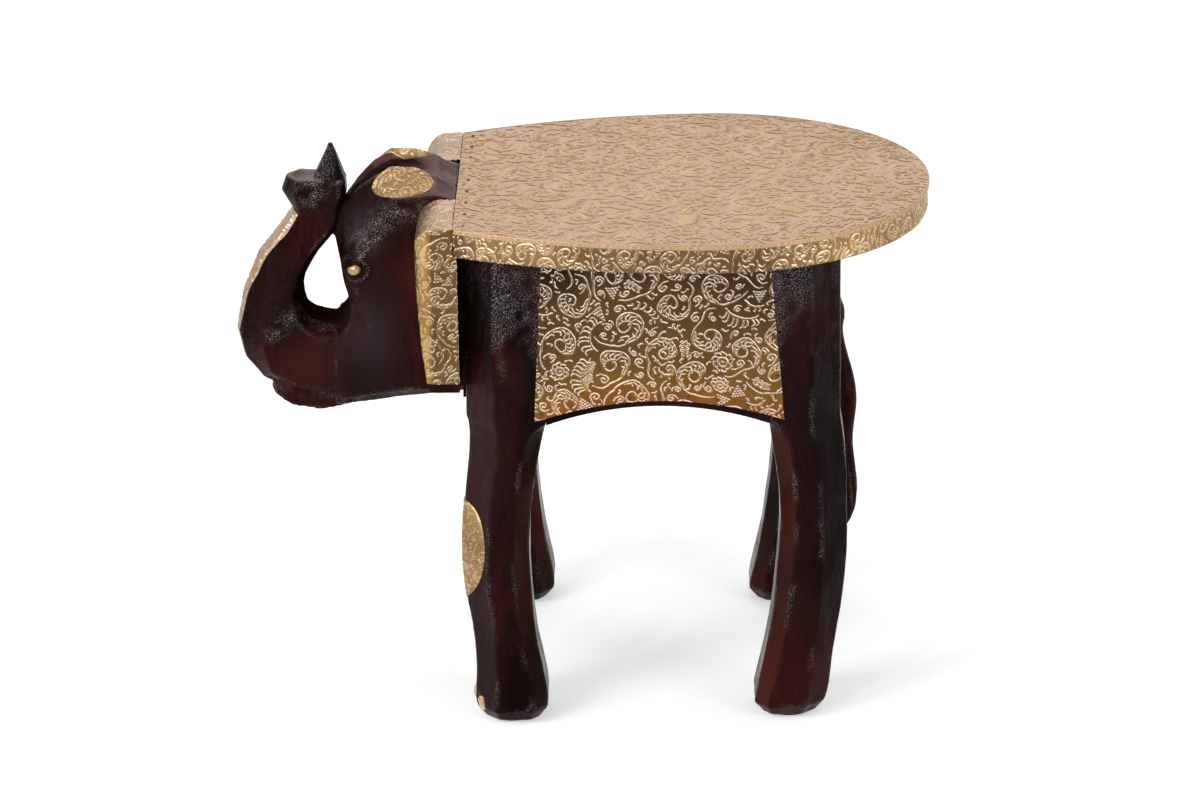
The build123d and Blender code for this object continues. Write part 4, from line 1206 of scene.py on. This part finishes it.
def seen_strength(nodes, unseen, seen):
    """One strength for light on the scene, another for what the camera, gloss and glass see."""
    path = nodes.tree.nodes.new("ShaderNodeLightPath").outputs
    most = path["Is Camera Ray"]
    for other in ("Is Glossy Ray", "Is Transmission Ray"):
        made = nodes.tree.nodes.new("ShaderNodeMath")
        made.operation = "MAXIMUM"
        nodes.put(made.inputs[0], most)
        nodes.put(made.inputs[1], path[other])
        most = made.outputs[0]
    return nodes.make("MapRange", "Result", **{"To Min": unseen, "To Max": seen, "Value": most})


bpy.ops.mesh.primitive_plane_add(size=12, location=(0, 0, 0))
floor = bpy.context.object
floor.name = "floor"
pale = Nodes(bpy.data.materials.new("pale_floor"))
floor.data.materials.append(pale.finish(
    Base_Color=(0.86, 0.86, 0.86), Roughness=0.9, Specular_IOR_Level=0.1,
    Emission_Color=(1.0, 1.0, 1.0), Emission_Strength=seen_strength(pale, 0.0, FLOOR_GLOW),
))

sky = Nodes(bpy.data.worlds.new("studio"))
scene.world = sky.finish("Background", Color=(1.0, 1.0, 1.0),
                         Strength=seen_strength(sky, WORLD_LIGHT, 1.0))

for name, place, aim_z, size, power in (
    ("key", (-1.3, -1.1, 1.3), 0.2, (0.7, 0.9), 16),
    ("fill", (1.5, -1.3, 0.8), 0.2, (0.6, 1.0), 8),
    ("top", (0.0, 0.4, 1.7), 0.2, (0.9, 0.6), 4),
    ("back_panel", (0.0, 3.8, 1.85), 0.3, (3.0, 1.3), 7),
    ("kicker", (-0.9, -1.6, 0.9), 0.2, (0.12, 0.12), 3.5),
):
    data = bpy.data.lights.new(name, "AREA")
    data.shape = "RECTANGLE"
    data.size, data.size_y = size
    data.energy = power
    lamp = bpy.data.objects.new(name, data)
    lamp.location = place
    to_target = Vector((0, 0, aim_z)) - Vector(place)
    lamp.rotation_euler = to_target.to_track_quat("-Z", "Y").to_euler()
    lamp.visible_camera = False
    link(lamp)

PHOTO_WIDTH, FOCAL = 1200, 4980  # in the photograph's pixels
SENSOR = 36.0
DISTANCE = 3.0
TARGET = (0.010, 0, 0.164)
AZIMUTH, ELEVATION, ROLL = 0.96, 21.0, -0.93  # degrees

camera_data = bpy.data.cameras.new("camera")
camera = bpy.data.objects.new("camera", camera_data)
link(camera)
scene.camera = camera
pose = Matrix.Translation(TARGET)
for angle, axis in ((AZIMUTH, "Z"), (90 - ELEVATION, "X"), (ROLL, "Z")):
    pose = pose @ Matrix.Rotation(math.radians(angle), 4, axis)
camera.matrix_world = pose @ Matrix.Translation((0, 0, DISTANCE))
camera_data.sensor_fit = "HORIZONTAL"
camera_data.sensor_width = SENSOR
camera_data.lens = SENSOR * FOCAL / PHOTO_WIDTH
camera_data.clip_start, camera_data.clip_end = 0.1, 50

scene.view_settings.view_transform = "Standard"

bpy.context.view_layer.update()
